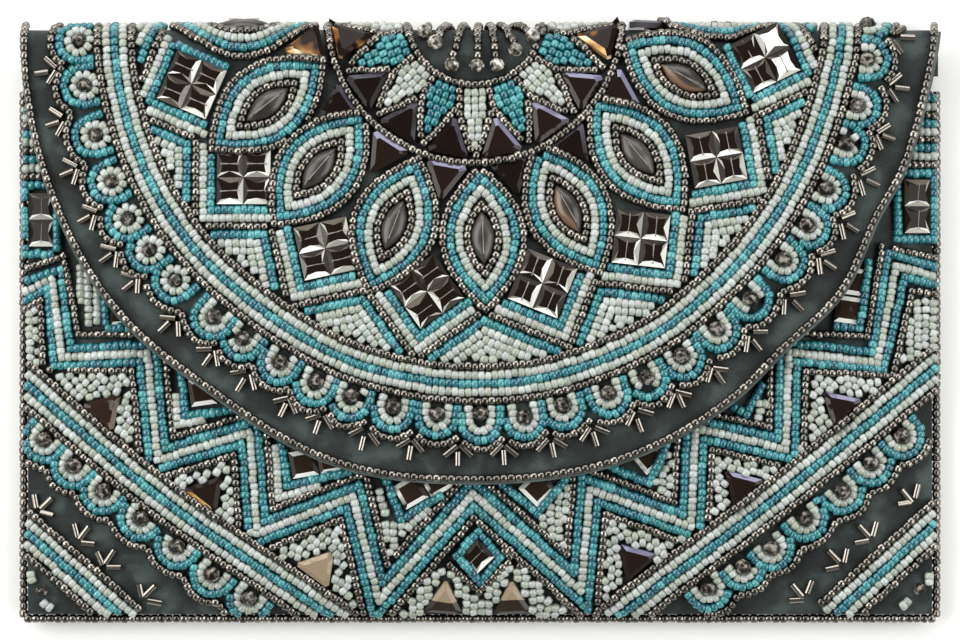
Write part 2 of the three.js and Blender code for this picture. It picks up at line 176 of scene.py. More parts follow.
def flap_point(x, v):
    x, v = np.broadcast_arrays(np.asarray(x, float), np.asarray(v, float))
    low, radius, start = fold_at(x)
    turn = np.clip((v - start) / radius, 0, np.pi)
    past = np.maximum(v - start - np.pi * radius, 0)
    before = np.minimum(v - start, 0)
    y = start + radius * np.sin(turn) + before - past
    on_front = front_height(x, np.minimum(v, start)) + STANDOFF + WALL
    on_fold = low + radius * (1 + np.cos(turn))
    on_back = back_height(x, y)
    z = np.where(v <= start, on_front, np.where(past > 0, on_back, on_fold))
    return np.stack([x, y, z], axis=-1)


print(f"The fold has a radius of {float(fold_at(0.0)[1]):.1f} mm in the middle")

# %% Ways along and out of the cloth
PANELS = {"front": front_point, "flap": flap_point}


def unit(vectors):
    return vectors / np.linalg.norm(vectors, axis=-1, keepdims=True)


def skin(panel, x, v):
    """Points of a panel with the ways across, up the pattern and out of the cloth."""
    point_of = PANELS[panel]
    step = 0.4
    across = unit(point_of(x + step, v) - point_of(x - step, v))
    along = point_of(x, v + step) - point_of(x, v - step)
    out = unit(np.cross(across, along))
    return point_of(x, v), across, np.cross(out, across), out


def to_frame(points):
    """From the chart's millimetres to the frame's metres."""
    return (np.asarray(points) + [0, SHIFT_Y, 0]) * MM


def edge_radius(degrees):
    return smooth_table(FLAP_EDGE, np.clip(degrees, 0, 180))


def polar(radius, degrees):
    """A place on the flap by radius and clockwise angle about the middle of the rose."""
    turn = np.radians(degrees)
    return np.stack([CENTRE_X + radius * np.cos(turn), CENTRE_V - radius * np.sin(turn)], axis=-1)


print(f"The edge of the flap is {float(edge_radius(90)):.1f} mm below the middle of the rose")

# %% [markdown]
# ## Materials
#
# Every finish is one Principled shader with a small pattern. A photograph of each cloth or stone would
# be quick, but it would not follow the shapes and would need a file. So the patterns are noise. Colours
# are hex values as a picture shows them, and one function turns them to linear light, which is what the
# shader expects. A noise is sized in millimetres of the real thing.


# %% Material helpers
def linear(text):
    """Linear colour of an sRGB hex value."""
    parts = [int(text[index : index + 2], 16) / 255 for index in (1, 3, 5)]
    return [p / 12.92 if p <= 0.04045 else ((p + 0.055) / 1.055) ** 2.4 for p in parts] + [1.0]


def add_node(tree, kind, sockets=None, **settings):
    """A node with its settings, and values or links for its sockets."""
    node = tree.nodes.new(kind)
    for key, value in settings.items():
        setattr(node, key, value)
    for key, value in (sockets or {}).items():
        if isinstance(value, bpy.types.NodeSocket):
            tree.links.new(value, node.inputs[key])
        else:
            node.inputs[key].default_value = value
    return node


def new_material(name, color, roughness, metallic=0.0, **sockets):
    """A Principled material; returns it with its tree and shader."""
    made = bpy.data.materials.new(name)
    made.use_nodes = True
    shader = made.node_tree.nodes["Principled BSDF"]
    shader.inputs["Base Color"].default_value = linear(color)
    shader.inputs["Roughness"].default_value = roughness
    shader.inputs["Metallic"].default_value = metallic
    for key, value in sockets.items():
        shader.inputs[key.replace("_", " ")].default_value = value
    return made, made.node_tree, shader


def color_ramp(tree, factor, stops):
    """A ramp through (place, hex colour) stops."""
    ramp = add_node(tree, "ShaderNodeValToRGB", {"Fac": factor})
    elements = ramp.color_ramp.elements
    while len(elements) < len(stops):
        elements.new(1.0)
    for element, (place, color) in zip(elements, stops):
        element.position = place
        element.color = linear(color)
    return ramp.outputs["Color"]


def noise(tree, place, size, detail, distortion=0.0):
    """A noise whose patches are about a size in millimetres wide."""
    sockets = {"Vector": place, "Scale": 1 / (size * MM), "Detail": detail, "Distortion": distortion}
    return add_node(tree, "ShaderNodeTexNoise", sockets).outputs["Fac"]


def add_bump(tree, shader, height, strength, depth):
    """Tilts a shader's normals by a height pattern that is a depth in millimetres deep."""
    sockets = {"Height": height, "Strength": strength, "Distance": depth * MM}
    bump = add_node(tree, "ShaderNodeBump", sockets)
    tree.links.new(bump.outputs["Normal"], shader.inputs["Normal"])


print("Middle grey in linear light:", [round(part, 3) for part in linear("#808080")])

# %% [markdown]
# ## Velvet
#
# The panels are dark slate velvet. Its nap leans one way here and another way there, so the cloth has
# pale and dark patches about a centimetre wide. Hair particles would be truer but heavy, and they would
# stick out between the beads. A ramp on a noise gives the patches, and a fine bump breaks up the shine.

# %% Velvet
VELVET_PATCH = 10.53
# A real nap is about a tenth of a millimetre fine. It is drawn coarser, as it needs to be to show.
NAP_GRAIN = 0.555
NAP_DEPTH = 0.4


def velvet_material(name, stops):
    """Velvet whose nap is brushed in patches, lighter where it leans."""
    made, tree, shader = new_material(name, stops[0][1], 0.85, Sheen_Weight=0.1, Sheen_Roughness=0.4)
    place = add_node(tree, "ShaderNodeTexCoord").outputs["Object"]
    patches = noise(tree, place, VELVET_PATCH, detail=6.0, distortion=0.3)
    tree.links.new(color_ramp(tree, patches, stops), shader.inputs["Base Color"])
    nap = noise(tree, place, NAP_GRAIN, detail=2.0)
    add_bump(tree, shader, nap, strength=0.5, depth=NAP_DEPTH)
    return made


# Nearly black with a soft grey bloom, which the eye takes for a deep pile
VELVET = velvet_material("slate_velvet", [(0.38, "#111615"), (0.5, "#1e2625"), (0.63, "#3a4442")])
# Paler: painted sheen, as a pile that is bent sharply opens, shows its sides and catches more light
SHEEN_PAINTED_VELVET = velvet_material("turned_velvet_painted_sheen", [(0.33, "#4a5250"), (0.66, "#6d7673")])
print("Cloths:", VELVET.name, "and", SHEEN_PAINTED_VELVET.name)

# %% [markdown]
# ## Bead glass
#
# Seed beads are slices of glass tube, and the beads of one batch are never all the same colour. A
# material for each bead would be thousands of materials. So each bead carries one number, its tone, and
# one ramp for each kind turns the number into a colour.


# %% Bead glass
def bead_material(name, stops, roughness, metallic=0.0, **sockets):
    """Glass beads whose colour follows each bead's own tone."""
    made, tree, shader = new_material(name, stops[0][1], roughness, metallic, **sockets)
    tone = add_node(tree, "ShaderNodeAttribute", attribute_name="tone")
    color = color_ramp(tree, tone.outputs["Fac"], stops)
    tree.links.new(color, shader.inputs["Base Color"])
    return made


BEAD_MATERIALS = {
    # Clear blue-green under a glassy coat: a bright spot on every bead, dark between the beads
    "turquoise": bead_material(
        "turquoise_lustre_glass",
        [(0.0, "#0c4d59"), (0.3, "#186471"), (0.55, "#1d6b6d"), (0.8, "#2e7f86"), (1.0, "#4e9799")],
        roughness=0.15, Coat_Weight=0.7,
    ),
    # Milky and a little green, with a softer spot: the eye reads pearl and not chalk
    "white": bead_material(
        "pearl_white_glass",
        [(0.0, "#889188"), (0.25, "#9aa092"), (0.5, "#9ea79f"), (0.75, "#a5a8a7"), (1.0, "#b4bcb6")],
        roughness=0.2, Coat_Weight=0.5,
    ),
    # A warm grey metal skin: sharp light and dark on each bead, which draws the outlines
    "gunmetal": bead_material(
        "gunmetal_glass",
        [(0.0, "#5c5954"), (0.6, "#74706a"), (1.0, "#928d85")],
        roughness=0.24, metallic=1.0,
    ),
}
print("Bead glass:", ", ".join(made.name for made in BEAD_MATERIALS.values()))

# %% [markdown]
# ## Foiled stones
#
# The squares and triangles are cut glass with foil behind it. Foil throws light back only from the
# facets that face a lamp, so most of a stone is dark and one facet flashes. Clear glass over a mirror
# would need many bounces and a whole room to mirror. Here the flashes and the dark sides are painted:
# the colour follows the way a facet faces, which looks the same from every side and renders fast.

# %% Foiled glass
STONE_GRAIN = 5.88
SQUARE_GRAIN = 3.125
CRYSTAL_GRAIN = 1.43


def stone_material(
    name, stops, depth, flash_way=None, uneven=0.0, grain=STONE_GRAIN, shine=0.5, metallic=0.0,
    by_facet=False, roughness=0.07,
):
    """Foiled glass with slow waves in it, a depth in millimetres deep. With a flash way, the colour is a
    painted flash and shade: from facets that face away from it (0) over flat tables (0.5) to facets that
    face it (1), made uneven by the waves or by each facet's own tone; otherwise it follows the waves."""
    made, tree, shader = new_material(name, stops[0][1], roughness, metallic, Specular_IOR_Level=shine)
    place = add_node(tree, "ShaderNodeTexCoord").outputs
    waves = noise(tree, place["Object"], grain, 1.0)
    factor = waves
    if flash_way:
        facing = add_node(
            tree, "ShaderNodeVectorMath", {0: place["Normal"], 1: flash_way}, operation="DOT_PRODUCT"
        )
        own = add_node(tree, "ShaderNodeAttribute", attribute_name="tone").outputs["Fac"]
        span = {
            "Value": own if by_facet else waves,
            "To Min": 0.5 - uneven / 2,
            "To Max": 0.5 + uneven / 2,
        }
        shift = add_node(tree, "ShaderNodeMapRange", span, clamp=False).outputs["Result"]
        factor = add_node(tree, "ShaderNodeMath", {0: facing.outputs["Value"], 1: shift}).outputs[0]
    tree.links.new(color_ramp(tree, factor, stops), shader.inputs["Base Color"])
    add_bump(tree, shader, waves, strength=1.0, depth=depth)
    return made


print(f"Waves in a stone are {STONE_GRAIN} mm wide, in a square {SQUARE_GRAIN} mm")

# %% Glass with a painted dark reflection at its foot
# Width of the waves in the border, how far they swing, and half the width of the border
FOOT_GRAIN = 5.0
FOOT_WAVE = 1.0
FOOT_BORDER = 0.1


def low_reflection_material(name, upper, lower, level):
    """Foiled glass with a painted dark reflection below a height on the bag, with a wavy border."""
    made, tree, shader = new_material(name, upper, roughness=0.1, Specular_IOR_Level=0.3)
    place = add_node(tree, "ShaderNodeTexCoord").outputs["Object"]
    height = add_node(tree, "ShaderNodeSeparateXYZ", {"Vector": place}).outputs["Y"]
    middle = level + SHIFT_Y
    span = {
        "Value": noise(tree, place, FOOT_GRAIN, 0.0),
        "To Min": (middle - FOOT_WAVE) * MM,
        "To Max": (middle + FOOT_WAVE) * MM,
    }
    border = add_node(tree, "ShaderNodeMapRange", span).outputs["Result"]
    above = add_node(tree, "ShaderNodeMath", {0: height, 1: border}, operation="SUBTRACT").outputs[0]
    span = {"Value": above, "From Min": -FOOT_BORDER * MM, "From Max": FOOT_BORDER * MM}
    share = add_node(tree, "ShaderNodeMapRange", span).outputs["Result"]
    color = color_ramp(tree, share, [(0.0, lower), (1.0, upper)])
    tree.links.new(color, shader.inputs["Base Color"])
    return made


print(f"The border of a foot swings by {2 * FOOT_WAVE} mm")

# %% Mirror squares
MIRROR_FLASH = (0.36, -0.93, 0.0)
MIRROR_UNEVEN = 0.6
# Brown-black tables with painted white and grey flashes on the facets: each square flashes in triangles
# like a small mirror
MIRROR = stone_material(
    "mirror_glass",
    [(0.0, "#5a5249"), (0.1, "#302923"), (0.2, "#18120f"), (0.58, "#1d1611"), (0.67, "#55514a")]
    + [(0.74, "#d6d6ce"), (0.82, "#7f7c74"), (0.9, "#bcbcb2"), (1.0, "#f6f7f2")],
    depth=0.05, flash_way=MIRROR_FLASH, uneven=MIRROR_UNEVEN, grain=SQUARE_GRAIN, shine=0.12,
    by_facet=True,
)
# The same glass lower on the bag, where the slopes toward the bottom edge catch the most light
LOW_MIRROR = stone_material(
    "low_mirror_glass",
    [(0.05, "#c8c9c4"), (0.18, "#56534d"), (0.3, "#241c17")]
    + [(0.67, "#2f251d"), (0.75, "#dfe0db"), (1.0, "#f0f2ee")],
    depth=0.2, flash_way=(0.1, -0.98, -0.1), uneven=0.3, grain=SQUARE_GRAIN, shine=0.1,
)
print("Mirrors:", MIRROR.name, "and", LOW_MIRROR.name)

# %% Triangles
# Black with a painted faint violet flash on the upper right side: the eye finds the cut of the stone
# only at its edge
BLACK_GLASS = stone_material(
    "black_foiled_glass",
    [(0.68, "#17110f"), (0.8, "#36333a"), (0.95, "#4b4954")],
    depth=0.6, flash_way=(0.4, 0.72, 0.0), uneven=0.5, shine=0.12,
)
# Dark with a painted golden flame on the lower left side: a stone that mirrors a warm lamp
AMBER_FLASH_GLASS = stone_material(
    "dark_glass_painted_amber_flash",
    [(0.48, "#1c1411"), (0.58, "#7a522c"), (0.68, "#d3a86c"), (0.78, "#efe2c8"), (0.9, "#8a6a48")],
    depth=0.4, flash_way=(-0.45, -0.42, 0.1), uneven=0.9, shine=0.1,
)
# Dark with a painted golden flash on the lower side
LOW_AMBER_FLASH_GLASS = stone_material(
    "dark_glass_painted_low_amber_flash",
    [(0.64, "#211814"), (0.74, "#b07c3e"), (0.86, "#e8cf9c")],
    depth=0.4, flash_way=(-0.72, -0.62, -0.35), uneven=0.5, shine=0.1,
)


def painted_flash_material(name, stops, depth, flash_way):
    """Even foiled glass with a little metal in it: one tone, and a painted second tone on the side that
    faces its flash way: a flash for the brown and violet stones, shade for the tan one.
    """
    return stone_material(name, stops, depth, flash_way, shine=0.3, metallic=0.1)


# Dark brown with a painted tan flash on the lower side
BROWN_GLASS = painted_flash_material(
    "brown_foiled_glass", [(0.7, "#2c2019"), (0.8, "#8a7a66")], 0.6, (0.35, -0.85, 0.0)
)
# Dark with a painted cool violet flash on the upper side, which mirrors the window
VIOLET_FLASH_GLASS = painted_flash_material(
    "dark_glass_painted_violet_flash", [(0.7, "#211814"), (0.8, "#77758c")], 0.4, (0.3, 0.92, 0.0)
)
# Tan all over, with painted shade on the lower side
TAN_GLASS = painted_flash_material(
    "tan_foiled_glass", [(0.68, "#93836d"), (0.74, "#2b221d")], 0.3, (0.0, -0.95, -0.55)
)
# Tan above with a painted dark reflection at the foot, as a flat stone mirrors a wall and the floor
TAN_GLASS_LOW_REFLECTION = low_reflection_material("tan_glass_with_painted_low_reflection", "#93836d", "#2b221d", level=-76.9)
# Triangles of the flap that get a painted amber flash and those that get a painted violet one, counted
# from the right
INNER_GLASS = {1: AMBER_FLASH_GLASS, 2: VIOLET_FLASH_GLASS, 3: VIOLET_FLASH_GLASS, 4: VIOLET_FLASH_GLASS, 8: AMBER_FLASH_GLASS}
OUTER_GLASS = {2: VIOLET_FLASH_GLASS, 5: VIOLET_FLASH_GLASS, 6: VIOLET_FLASH_GLASS, 8: AMBER_FLASH_GLASS}
FRONT_GLASS = [BROWN_GLASS, LOW_AMBER_FLASH_GLASS, TAN_GLASS] + [TAN_GLASS_LOW_REFLECTION] * 2 + [VIOLET_FLASH_GLASS] * 3
print("Front triangles:", ", ".join(made.name for made in FRONT_GLASS))

# %% Domes, crystals, bugles and threads
DOME_ROUGHNESS = 0.26
# Smoky grey and worn a little dull: a soft glow on a dome, darker than the beads round it
GREY_GLASS = stone_material(
    "grey_moonstone_glass",
    [(0.35, "#2c2926"), (0.65, "#47433e")],
    depth=0.2, roughness=DOME_ROUGHNESS,
)
# The same with a painted orange glow on the lower left side, as some milky stones pass warm light on
PAINTED_GLOW_GREY_GLASS = stone_material(
    "moonstone_glass_painted_warm_glow",
    [(0.5, "#302d2a"), (0.66, "#443e38"), (0.76, "#775b45"), (0.95, "#6c5543")],
    depth=0.2, flash_way=(-0.72, -0.5, 0.0), uneven=0.2, roughness=DOME_ROUGHNESS,
)
# Domes with a painted orange glow, counted from the right
PAINTED_GLOW_DOMES = (2, 4)
# Dark with a few pale facets: small sparks along the scallops
CRYSTAL = stone_material(
    "smoky_crystal",
    [(0.36, "#151210"), (0.48, "#2d2924"), (0.56, "#4e4942"), (0.66, "#8d877f")],
    depth=0.4, grain=CRYSTAL_GRAIN, shine=0.25,
)
# Pale with a few dark facets: the bright ring in the core of the rose
CLEAR_CRYSTAL = stone_material(
    "champagne_crystal",
    [(0.34, "#26221e"), (0.46, "#5c574f"), (0.56, "#908b82"), (0.66, "#d2cfc8")],
    depth=0.4, grain=CRYSTAL_GRAIN, shine=0.4,
)
# Polished grey metal: a bright line along each tube
BUGLE = new_material("gunmetal_bugle", "#928c84", roughness=0.25, metallic=1.0)[0]
# A pale hair line over a dark stone
THREAD = new_material("clear_thread", "#837d77", roughness=0.35)[0]
# Plain plated steel, which no view shows
PLATED = new_material("plated_metal", "#9a9894", roughness=0.35, metallic=1.0)[0]
print("Materials in all:", len(bpy.data.materials))

# %% [markdown]
# ## Cloth
#
# The pouch is a front and a back panel of velvet, sewn together at the sides and the bottom. A plane
# with a Solidify modifier would do, but its rim would not stand straight at the seam. Here a wall is
# two grids of points, the outer and the inner face, joined round the rim. The same function makes the
# front, the back and the flap.


# %% A wall of cloth
# The rim of a wall turns by more than this many degrees and stays a sharp edge
RIM_TURN = 40


def new_object(name, points, faces, material, smooth=True):
    """A mesh object of points in chart millimetres."""
    mesh = bpy.data.meshes.new(name)
    mesh.from_pydata(to_frame(points).tolist(), [], faces)
    mesh.polygons.foreach_set("use_smooth", [smooth] * len(mesh.polygons))
    mesh.materials.append(material)
    made = bpy.data.objects.new(name, mesh)
    bpy.context.scene.collection.objects.link(made)
    return made


def belongs(piece, slot, *solids):
    """Fixes a piece to the bag and hides the solids that it stands for. The slot, its finish, is not
    used.
    """
    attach(piece, "root")
    for solid in solids:
        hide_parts(solid)


def wall(name, outer, inner, *solids, material=VELVET):
    """A closed wall between two grids that have the same rows and columns."""
    rows, columns = outer.shape[:2]
    points = np.concatenate([outer.reshape(-1, 3), inner.reshape(-1, 3)])
    top = np.arange(rows * columns).reshape(rows, columns)
    under = top + rows * columns

    def quads(a, b, c, d):
        return np.stack([a.ravel(), b.ravel(), c.ravel(), d.ravel()], axis=-1).tolist()

    faces = quads(top[:-1, :-1], top[:-1, 1:], top[1:, 1:], top[1:, :-1])
    faces += quads(under[:-1, :-1], under[1:, :-1], under[1:, 1:], under[:-1, 1:])
    faces += quads(top[:-1, 0], top[1:, 0], under[1:, 0], under[:-1, 0])
    faces += quads(top[:-1, -1], under[:-1, -1], under[1:, -1], top[1:, -1])
    faces += quads(top[0, :-1], under[0, :-1], under[0, 1:], top[0, 1:])
    faces += quads(top[-1, :-1], top[-1, 1:], under[-1, 1:], under[-1, :-1])
    made = new_object(name, points, faces, material)
    made.data.set_sharp_from_angle(angle=math.radians(RIM_TURN))
    belongs(made, "velvet", *solids)
    return made


print(f"A wall is {WALL} mm thick")

# %% The two panels of the pouch
PANEL_COLUMNS = 121
PANEL_ROWS = 81


def panel_grid(height_of, margin, high):
    side = HALF_WIDTH + margin
    columns = np.linspace(-side, side, PANEL_COLUMNS)
    x, y = np.meshgrid(columns, np.linspace(BOTTOM_Y - margin, high, PANEL_ROWS))
    return np.stack([x, y, height_of(x, y)], axis=-1)


def make_pouch():
    outer = panel_grid(front_height, RIM_MARGIN, MOUTH_Y)
    front = wall("front_cloth", outer, outer - [0, 0, WALL], "front_panel")
    outer = panel_grid(back_height, 0, BACK_SEAM_Y - GAP)
    back = wall("back_cloth", outer + [0, 0, WALL], outer, "back_panel")


make_pouch()

# %% [markdown]
# ## The flap
#
# The flap is one cloth. It starts at a seam high on the back, turns round the top fold and ends in a
# half circle on the front. It could be cut from a plane with a boolean, but that leaves a rough rim.
# Rows of points that run from edge to edge follow the half circle exactly.


# %% The flap, from its round edge over the fold to the seam on the back
FLAP_COLUMNS = 121
FLAP_ROWS = 90
BACK_ROWS = 30
# The lowest row, as a share of the half circle's depth; at 1 it would be a point
LOWEST_ROW = 0.9988


def make_flap():
    share = np.linspace(0, 1, FLAP_COLUMNS)[:, None]
    rows = []
    for turn in np.degrees(np.arcsin(np.linspace(0, LOWEST_ROW, FLAP_ROWS)))[::-1]:
        left, right = (polar(edge_radius(angle) + FLAP_LIP, angle) for angle in (180 - turn, turn))
        rows.append(left + (right - left) * share)
    x = rows[-1][:, 0]
    low, radius, start = fold_at(x)
    seam = start + np.pi * radius + start - BACK_SEAM_Y
    for step in np.linspace(0, 1, BACK_ROWS)[1:]:
        rows.append(np.stack([x, CENTRE_V + (seam - CENTRE_V) * step], axis=1))
    x, v = np.moveaxis(np.array(rows), -1, 0)
    outer, across, along, out = skin("flap", x, v)
    inner = outer - out * WALL
    inner[-1, :, 1] = BACK_SEAM_Y
    flap = wall("flap_cloth", outer, inner, "flap")


make_flap()

# %% The turned edge of the flap, which catches more light than the nap
LIP_INNER = 0.7
# Angle clockwise from +X, how far the lip reaches past the edge beads
LIP_OUTER = [(0, 2.0), (15, 1.8), (90, 1.7), (150, 1.6), (165, 1.25), (180, 1.2)]
LIP_RISE = 0.15
LIP_THICKNESS = 0.9
# Degrees that the lip leaves free at the fold, and the steps along and across it
LIP_END = 1.5
LIP_STEPS = 240
LIP_ROWS = 4


def make_lip():
    along = np.linspace(LIP_END, 180 - LIP_END, LIP_STEPS)
    angles, share = np.meshgrid(along, np.linspace(0, 1, LIP_ROWS), indexing="ij")
    beyond = LIP_INNER + (smooth_table(LIP_OUTER, angles) - LIP_INNER) * share
    places = polar(edge_radius(angles) + beyond, angles)
    point, across, up, out = skin("flap", places[..., 0], places[..., 1])
    top = point + out * LIP_RISE
    under = top - out * LIP_THICKNESS
    lip = wall("flap_lip", top[:, ::-1], under[:, ::-1], material=SHEEN_PAINTED_VELVET)
    print(f"The lip has {len(lip.data.polygons)} faces")


make_lip()

# %% [markdown]
# ## The chart
#
# A bead worker draws the pattern on flat cloth and then sews along the lines. This script does the
# same. The chart is a list of beads: the panel, the colour, the flat place and the way the hole points.
# Strings are lines with beads a bead's length apart, and fills are rows inside an outline. Scattering
# beads with a density would be less work, but rows and outlines are what the eye knows beadwork by.
# Strings come first. A bead that would sit in a bead charted before it is left out.

# %% A string of beads
# Length of a bead on its string
PITCH = {"white": 1.82, "turquoise": 1.78, "gunmetal": 1.86}
# Room that a bead of a string needs, how far it strays from its line, and from its way in radians
STRING_ROOM = 1.4
STRING_STRAY = 0.11
STRING_TURN = 0.1
hand = np.random.default_rng(5)
chart = []
crystals = []
bugles = []
threads = []
footprints = []


def string(panel, colour, points):
    """Beads along a line, their lengths evened out so that a whole number fits. A line of long
    legs gets a bead on every corner, and a closed line gets one where it starts and halfway."""
    points = np.asarray(points, float)
    steps = np.diff(points, axis=0)
    legs = np.hypot(steps[:, 0], steps[:, 1])
    reach = np.concatenate([[0], np.cumsum(legs)])
    if len(legs) > 1 and legs.min() > 2 * PITCH[colour]:
        counts = [round(leg / PITCH[colour]) + 1 for leg in legs]
        parts = [np.linspace(*ends)[1:] for ends in zip(reach[:-1], reach[1:], counts)]
        at = np.concatenate([[0.0], *parts])
    elif np.allclose(points[0], points[-1]):
        count = 2 * round(reach[-1] / PITCH[colour] / 2)
        at = np.arange(count) * reach[-1] / count
    else:
        count = max(1, round(reach[-1] / PITCH[colour]))
        at = (np.arange(count) + 0.5) * reach[-1] / count
    count = len(at)
    x = np.interp(at, reach, points[:, 0])
    v = np.interp(at, reach, points[:, 1])
    leg = np.clip(np.searchsorted(reach, at) - 1, 0, len(steps) - 1)
    angle = np.arctan2(steps[leg, 1], steps[leg, 0])
    aside = hand.normal(0, STRING_STRAY, count)
    x = x - aside * np.sin(angle)
    v = v + aside * np.cos(angle)
    for row in zip(x, v, angle + hand.normal(0, STRING_TURN, count)):
        chart.append((panel, colour, *row, STRING_ROOM))


def tell_chart(step):
    """Prints how far the chart has grown."""
    print(f"{step}: {len(chart)} beads, {len(crystals)} crystals and {len(bugles)} bugles charted")


tell_chart("Start")

# %% A fill of beads
# Room that a bead of a fill needs, how far it strays from its row, and from its way in radians
FILL_ROOM = 1.65
FILL_STRAY = 0.25
FILL_TURN = 0.6
# Distance of two rows, of two beads in a row, and how many more are tried on a square millimetre
FILL_ROW = 2.1
FILL_STEP = 2.0
FILL_TRIES = 2
# Rows reach this many times the half size of an outline, so that they cover it whichever way they run
FILL_REACH = 1.5
# Keeps a level edge from dividing by nothing
TINY = 1e-12


def inside(x, v, outline):
    """True where places lie inside a closed outline."""
    result = np.zeros(np.shape(x), bool)
    for (x0, v0), (x1, v1) in zip(outline, np.roll(outline, -1, axis=0)):
        crosses = (v0 > v) != (v1 > v)
        result ^= crosses & (x < (x1 - x0) * (v - v0) / (v1 - v0 + TINY) + x0)
    return result


def fill(panel, colour, outline, degrees):
    """Rows of beads inside an outline, out of line as hand sewing leaves them."""
    outline = np.asarray(outline, float)
    turn = math.radians(degrees)
    ahead = np.array([math.cos(turn), math.sin(turn)])
    aside = np.array([-ahead[1], ahead[0]])
    middle = outline.mean(axis=0)
    far = np.abs(outline - middle).max() * FILL_REACH
    places = []
    for offset in np.arange(-far, far, FILL_ROW):
        along = np.arange(-far, far, FILL_STEP) + hand.uniform(0, FILL_STEP)
        places.append(middle + along[:, None] * ahead + offset * aside)
    places = np.concatenate(places)
    places += hand.uniform(-FILL_STRAY, FILL_STRAY, places.shape)
    more = middle + hand.uniform(-far, far, (int(FILL_TRIES * (2 * far) ** 2), 2))
    places = np.concatenate([places, more])
    for x, v in places[inside(places[:, 0], places[:, 1], outline)]:
        chart.append((panel, colour, x, v, turn + hand.uniform(-FILL_TURN, FILL_TURN), FILL_ROOM))


print(f"The rows of a fill have {100 / FILL_ROW / FILL_STEP:.0f} beads on a square centimetre")


# %% Lines beside and through points
def beside(points, distance):
    """A line beside a line of straight legs, with its corners kept sharp."""
    points = np.asarray(points, float)
    legs = unit(np.diff(points, axis=0))
    normals = np.stack([-legs[:, 1], legs[:, 0]], axis=1)
    before = np.concatenate([normals[:1], normals])
    after = np.concatenate([normals, normals[-1:]])
    mitre = (before + after) / (1 + np.sum(before * after, axis=1, keepdims=True))
    return points + distance * mitre


def smooth_line(points, count=40):
    """A smooth line through a few points."""
    points = np.asarray(points, float)
    legs = np.hypot(*np.diff(points, axis=0).T)
    reach = np.concatenate([[0], np.cumsum(legs)])
    at = np.linspace(0, reach[-1], count)
    columns = [smooth_table(list(zip(reach, points[:, axis])), at) for axis in (0, 1)]
    return np.stack(columns, axis=1)


print("A line 2 mm beside an upright one:", beside([(0, 0), (0, 1)], 2.0).tolist())

# %% Motifs, in millimetres out from and beside their middle
BUGLE_STRAY = 0.3


def at_place(x, v, degrees):
    """Places a motif on the flat cloth with its outward way turned to an angle."""
    turn = math.radians(degrees)

    def place(rows):
        out, aside = np.asarray(rows, float).T
        across = x + out * math.cos(turn) - aside * math.sin(turn)
        up = v + out * math.sin(turn) + aside * math.cos(turn)
        return np.stack([across, up], axis=1)

    return place


def on_rose(degrees, radius):
    """Places a motif on the flap with its outward way along a radius of the rose."""
    return at_place(*polar(radius, degrees), -degrees)


def cup(half, top, bottom, count=13):
    """A U: two legs and a half round, as (out, aside) rows."""
    turn = np.radians(np.linspace(-90, 90, count))
    arc = np.stack([bottom + half * np.cos(turn), half * np.sin(turn)], axis=1)
    return np.concatenate([[(top, -half)], arc, [(top, half)]])


def trident(panel, place, roof, stem):
    """Three bugles near one point: two that spread like a roof and a stem between them."""
    for rows in (roof, np.array(roof) * [1, -1], stem):
        bugles.append((panel, place(np.array(rows) + hand.normal(0, BUGLE_STRAY, 2))))


print("A cup is a line of", len(cup(3.0, 0.0, 2.0)), "points")

# %% [markdown]
# ## Places of the stones
#
# The stones are sewn on first, and the rows of beads run round them. They were sewn by eye, so no rule
# gives their places exactly. The tables hold where each one lies on the flat cloth, the same as the
# solids have, and each outline is kept free of beads.

# %% Places of the stones, the same as the solids have
# Middle of a stone on the flap, and the clockwise turn of its outer point or corner
MARQUISES = [
    (66.0, 89.0, 4), (56.0, 67.1, 29.6), (43.1, 45.9, 50.7), (24.1, 30.9, 63.2), (0.8, 22.9, 87.3),
    (-23.5, 26.5, 110.2), (-44.1, 42.0, 128.8), (-58.3, 59.6, 141.5), (-65.1, 84.2, 178),
]
QUADS = [
    (78.2, 72.6, 19), (64.7, 45.0, 35), (44.0, 22.7, 51.5), (17.1, 10.5, 67), (-14.5, 8.3, 99.5),
    (-42.3, 20.0, 122.6), (-64.7, 39.5, 135), (-79.1, 65.2, 158.3),
]
OUTER_TRIANGLES = [
    (44.8, 85.4, 0), (38.0, 63.0, 33), (25.5, 48.5, 53), (8.8, 41.2, 77), (-9.6, 39.8, 100),
    (-26.1, 46.4, 123), (-38.7, 58.8, 146), (-47.0, 75.4, 168),
]
# Middle of a front triangle, and the way its point turns
FRONT_TRIANGLES = [
    (-103.0, -24.2, 168), (-74.9, -47.0, 170), (-44.3, -67.3, 171), (-9.9, -76.5, 85),
    (8.9, -76.6, 92), (42.5, -65.2, 13), (71.7, -45.1, 14), (98.8, -23.4, 17),
]
FRONT_PAIRS = [(-120.6, 28.2), (120.3, 31.9)]
FRONT_SQUARE = (-1.0, -64.0)
# Squares that the flap's edge half hides: middle and turn
HIDDEN_SQUARES = [
    (-98.4, 2.7, 5), (-76.1, -19.2, 8), (-48.4, -38.8, 10), (-40.9, -37.6, 10), (-19.0, -46.5, 30),
    (-11.9, -43.4, 30), (15.7, -45.6, 45), (46.2, -36.8, 40), (101.2, 3.3, -8), (101.9, 11.2, -8),
]

print("Marquises, blocks and outer triangles:", len(MARQUISES), len(QUADS), len(OUTER_TRIANGLES))

# %% Outlines of the stones, the same as the solids have
SQUARE_SIDE = 7.3
SQUARE_PITCH = 7.4
TRIANGLE = (12.2, 11.2)
FRONT_TRIANGLE = (11.2, 10.4)
MARQUISE_LENGTH = 14.6
MARQUISE_WIDTH = 6.5
ROSE_STEP = 22.5
INNER_TRIANGLE_RADIUS = 35.3


def rectangle(width, height):
    half = np.array([width, height]) / 2
    return np.array([(1, 1), (-1, 1), (-1, -1), (1, -1)]) * half


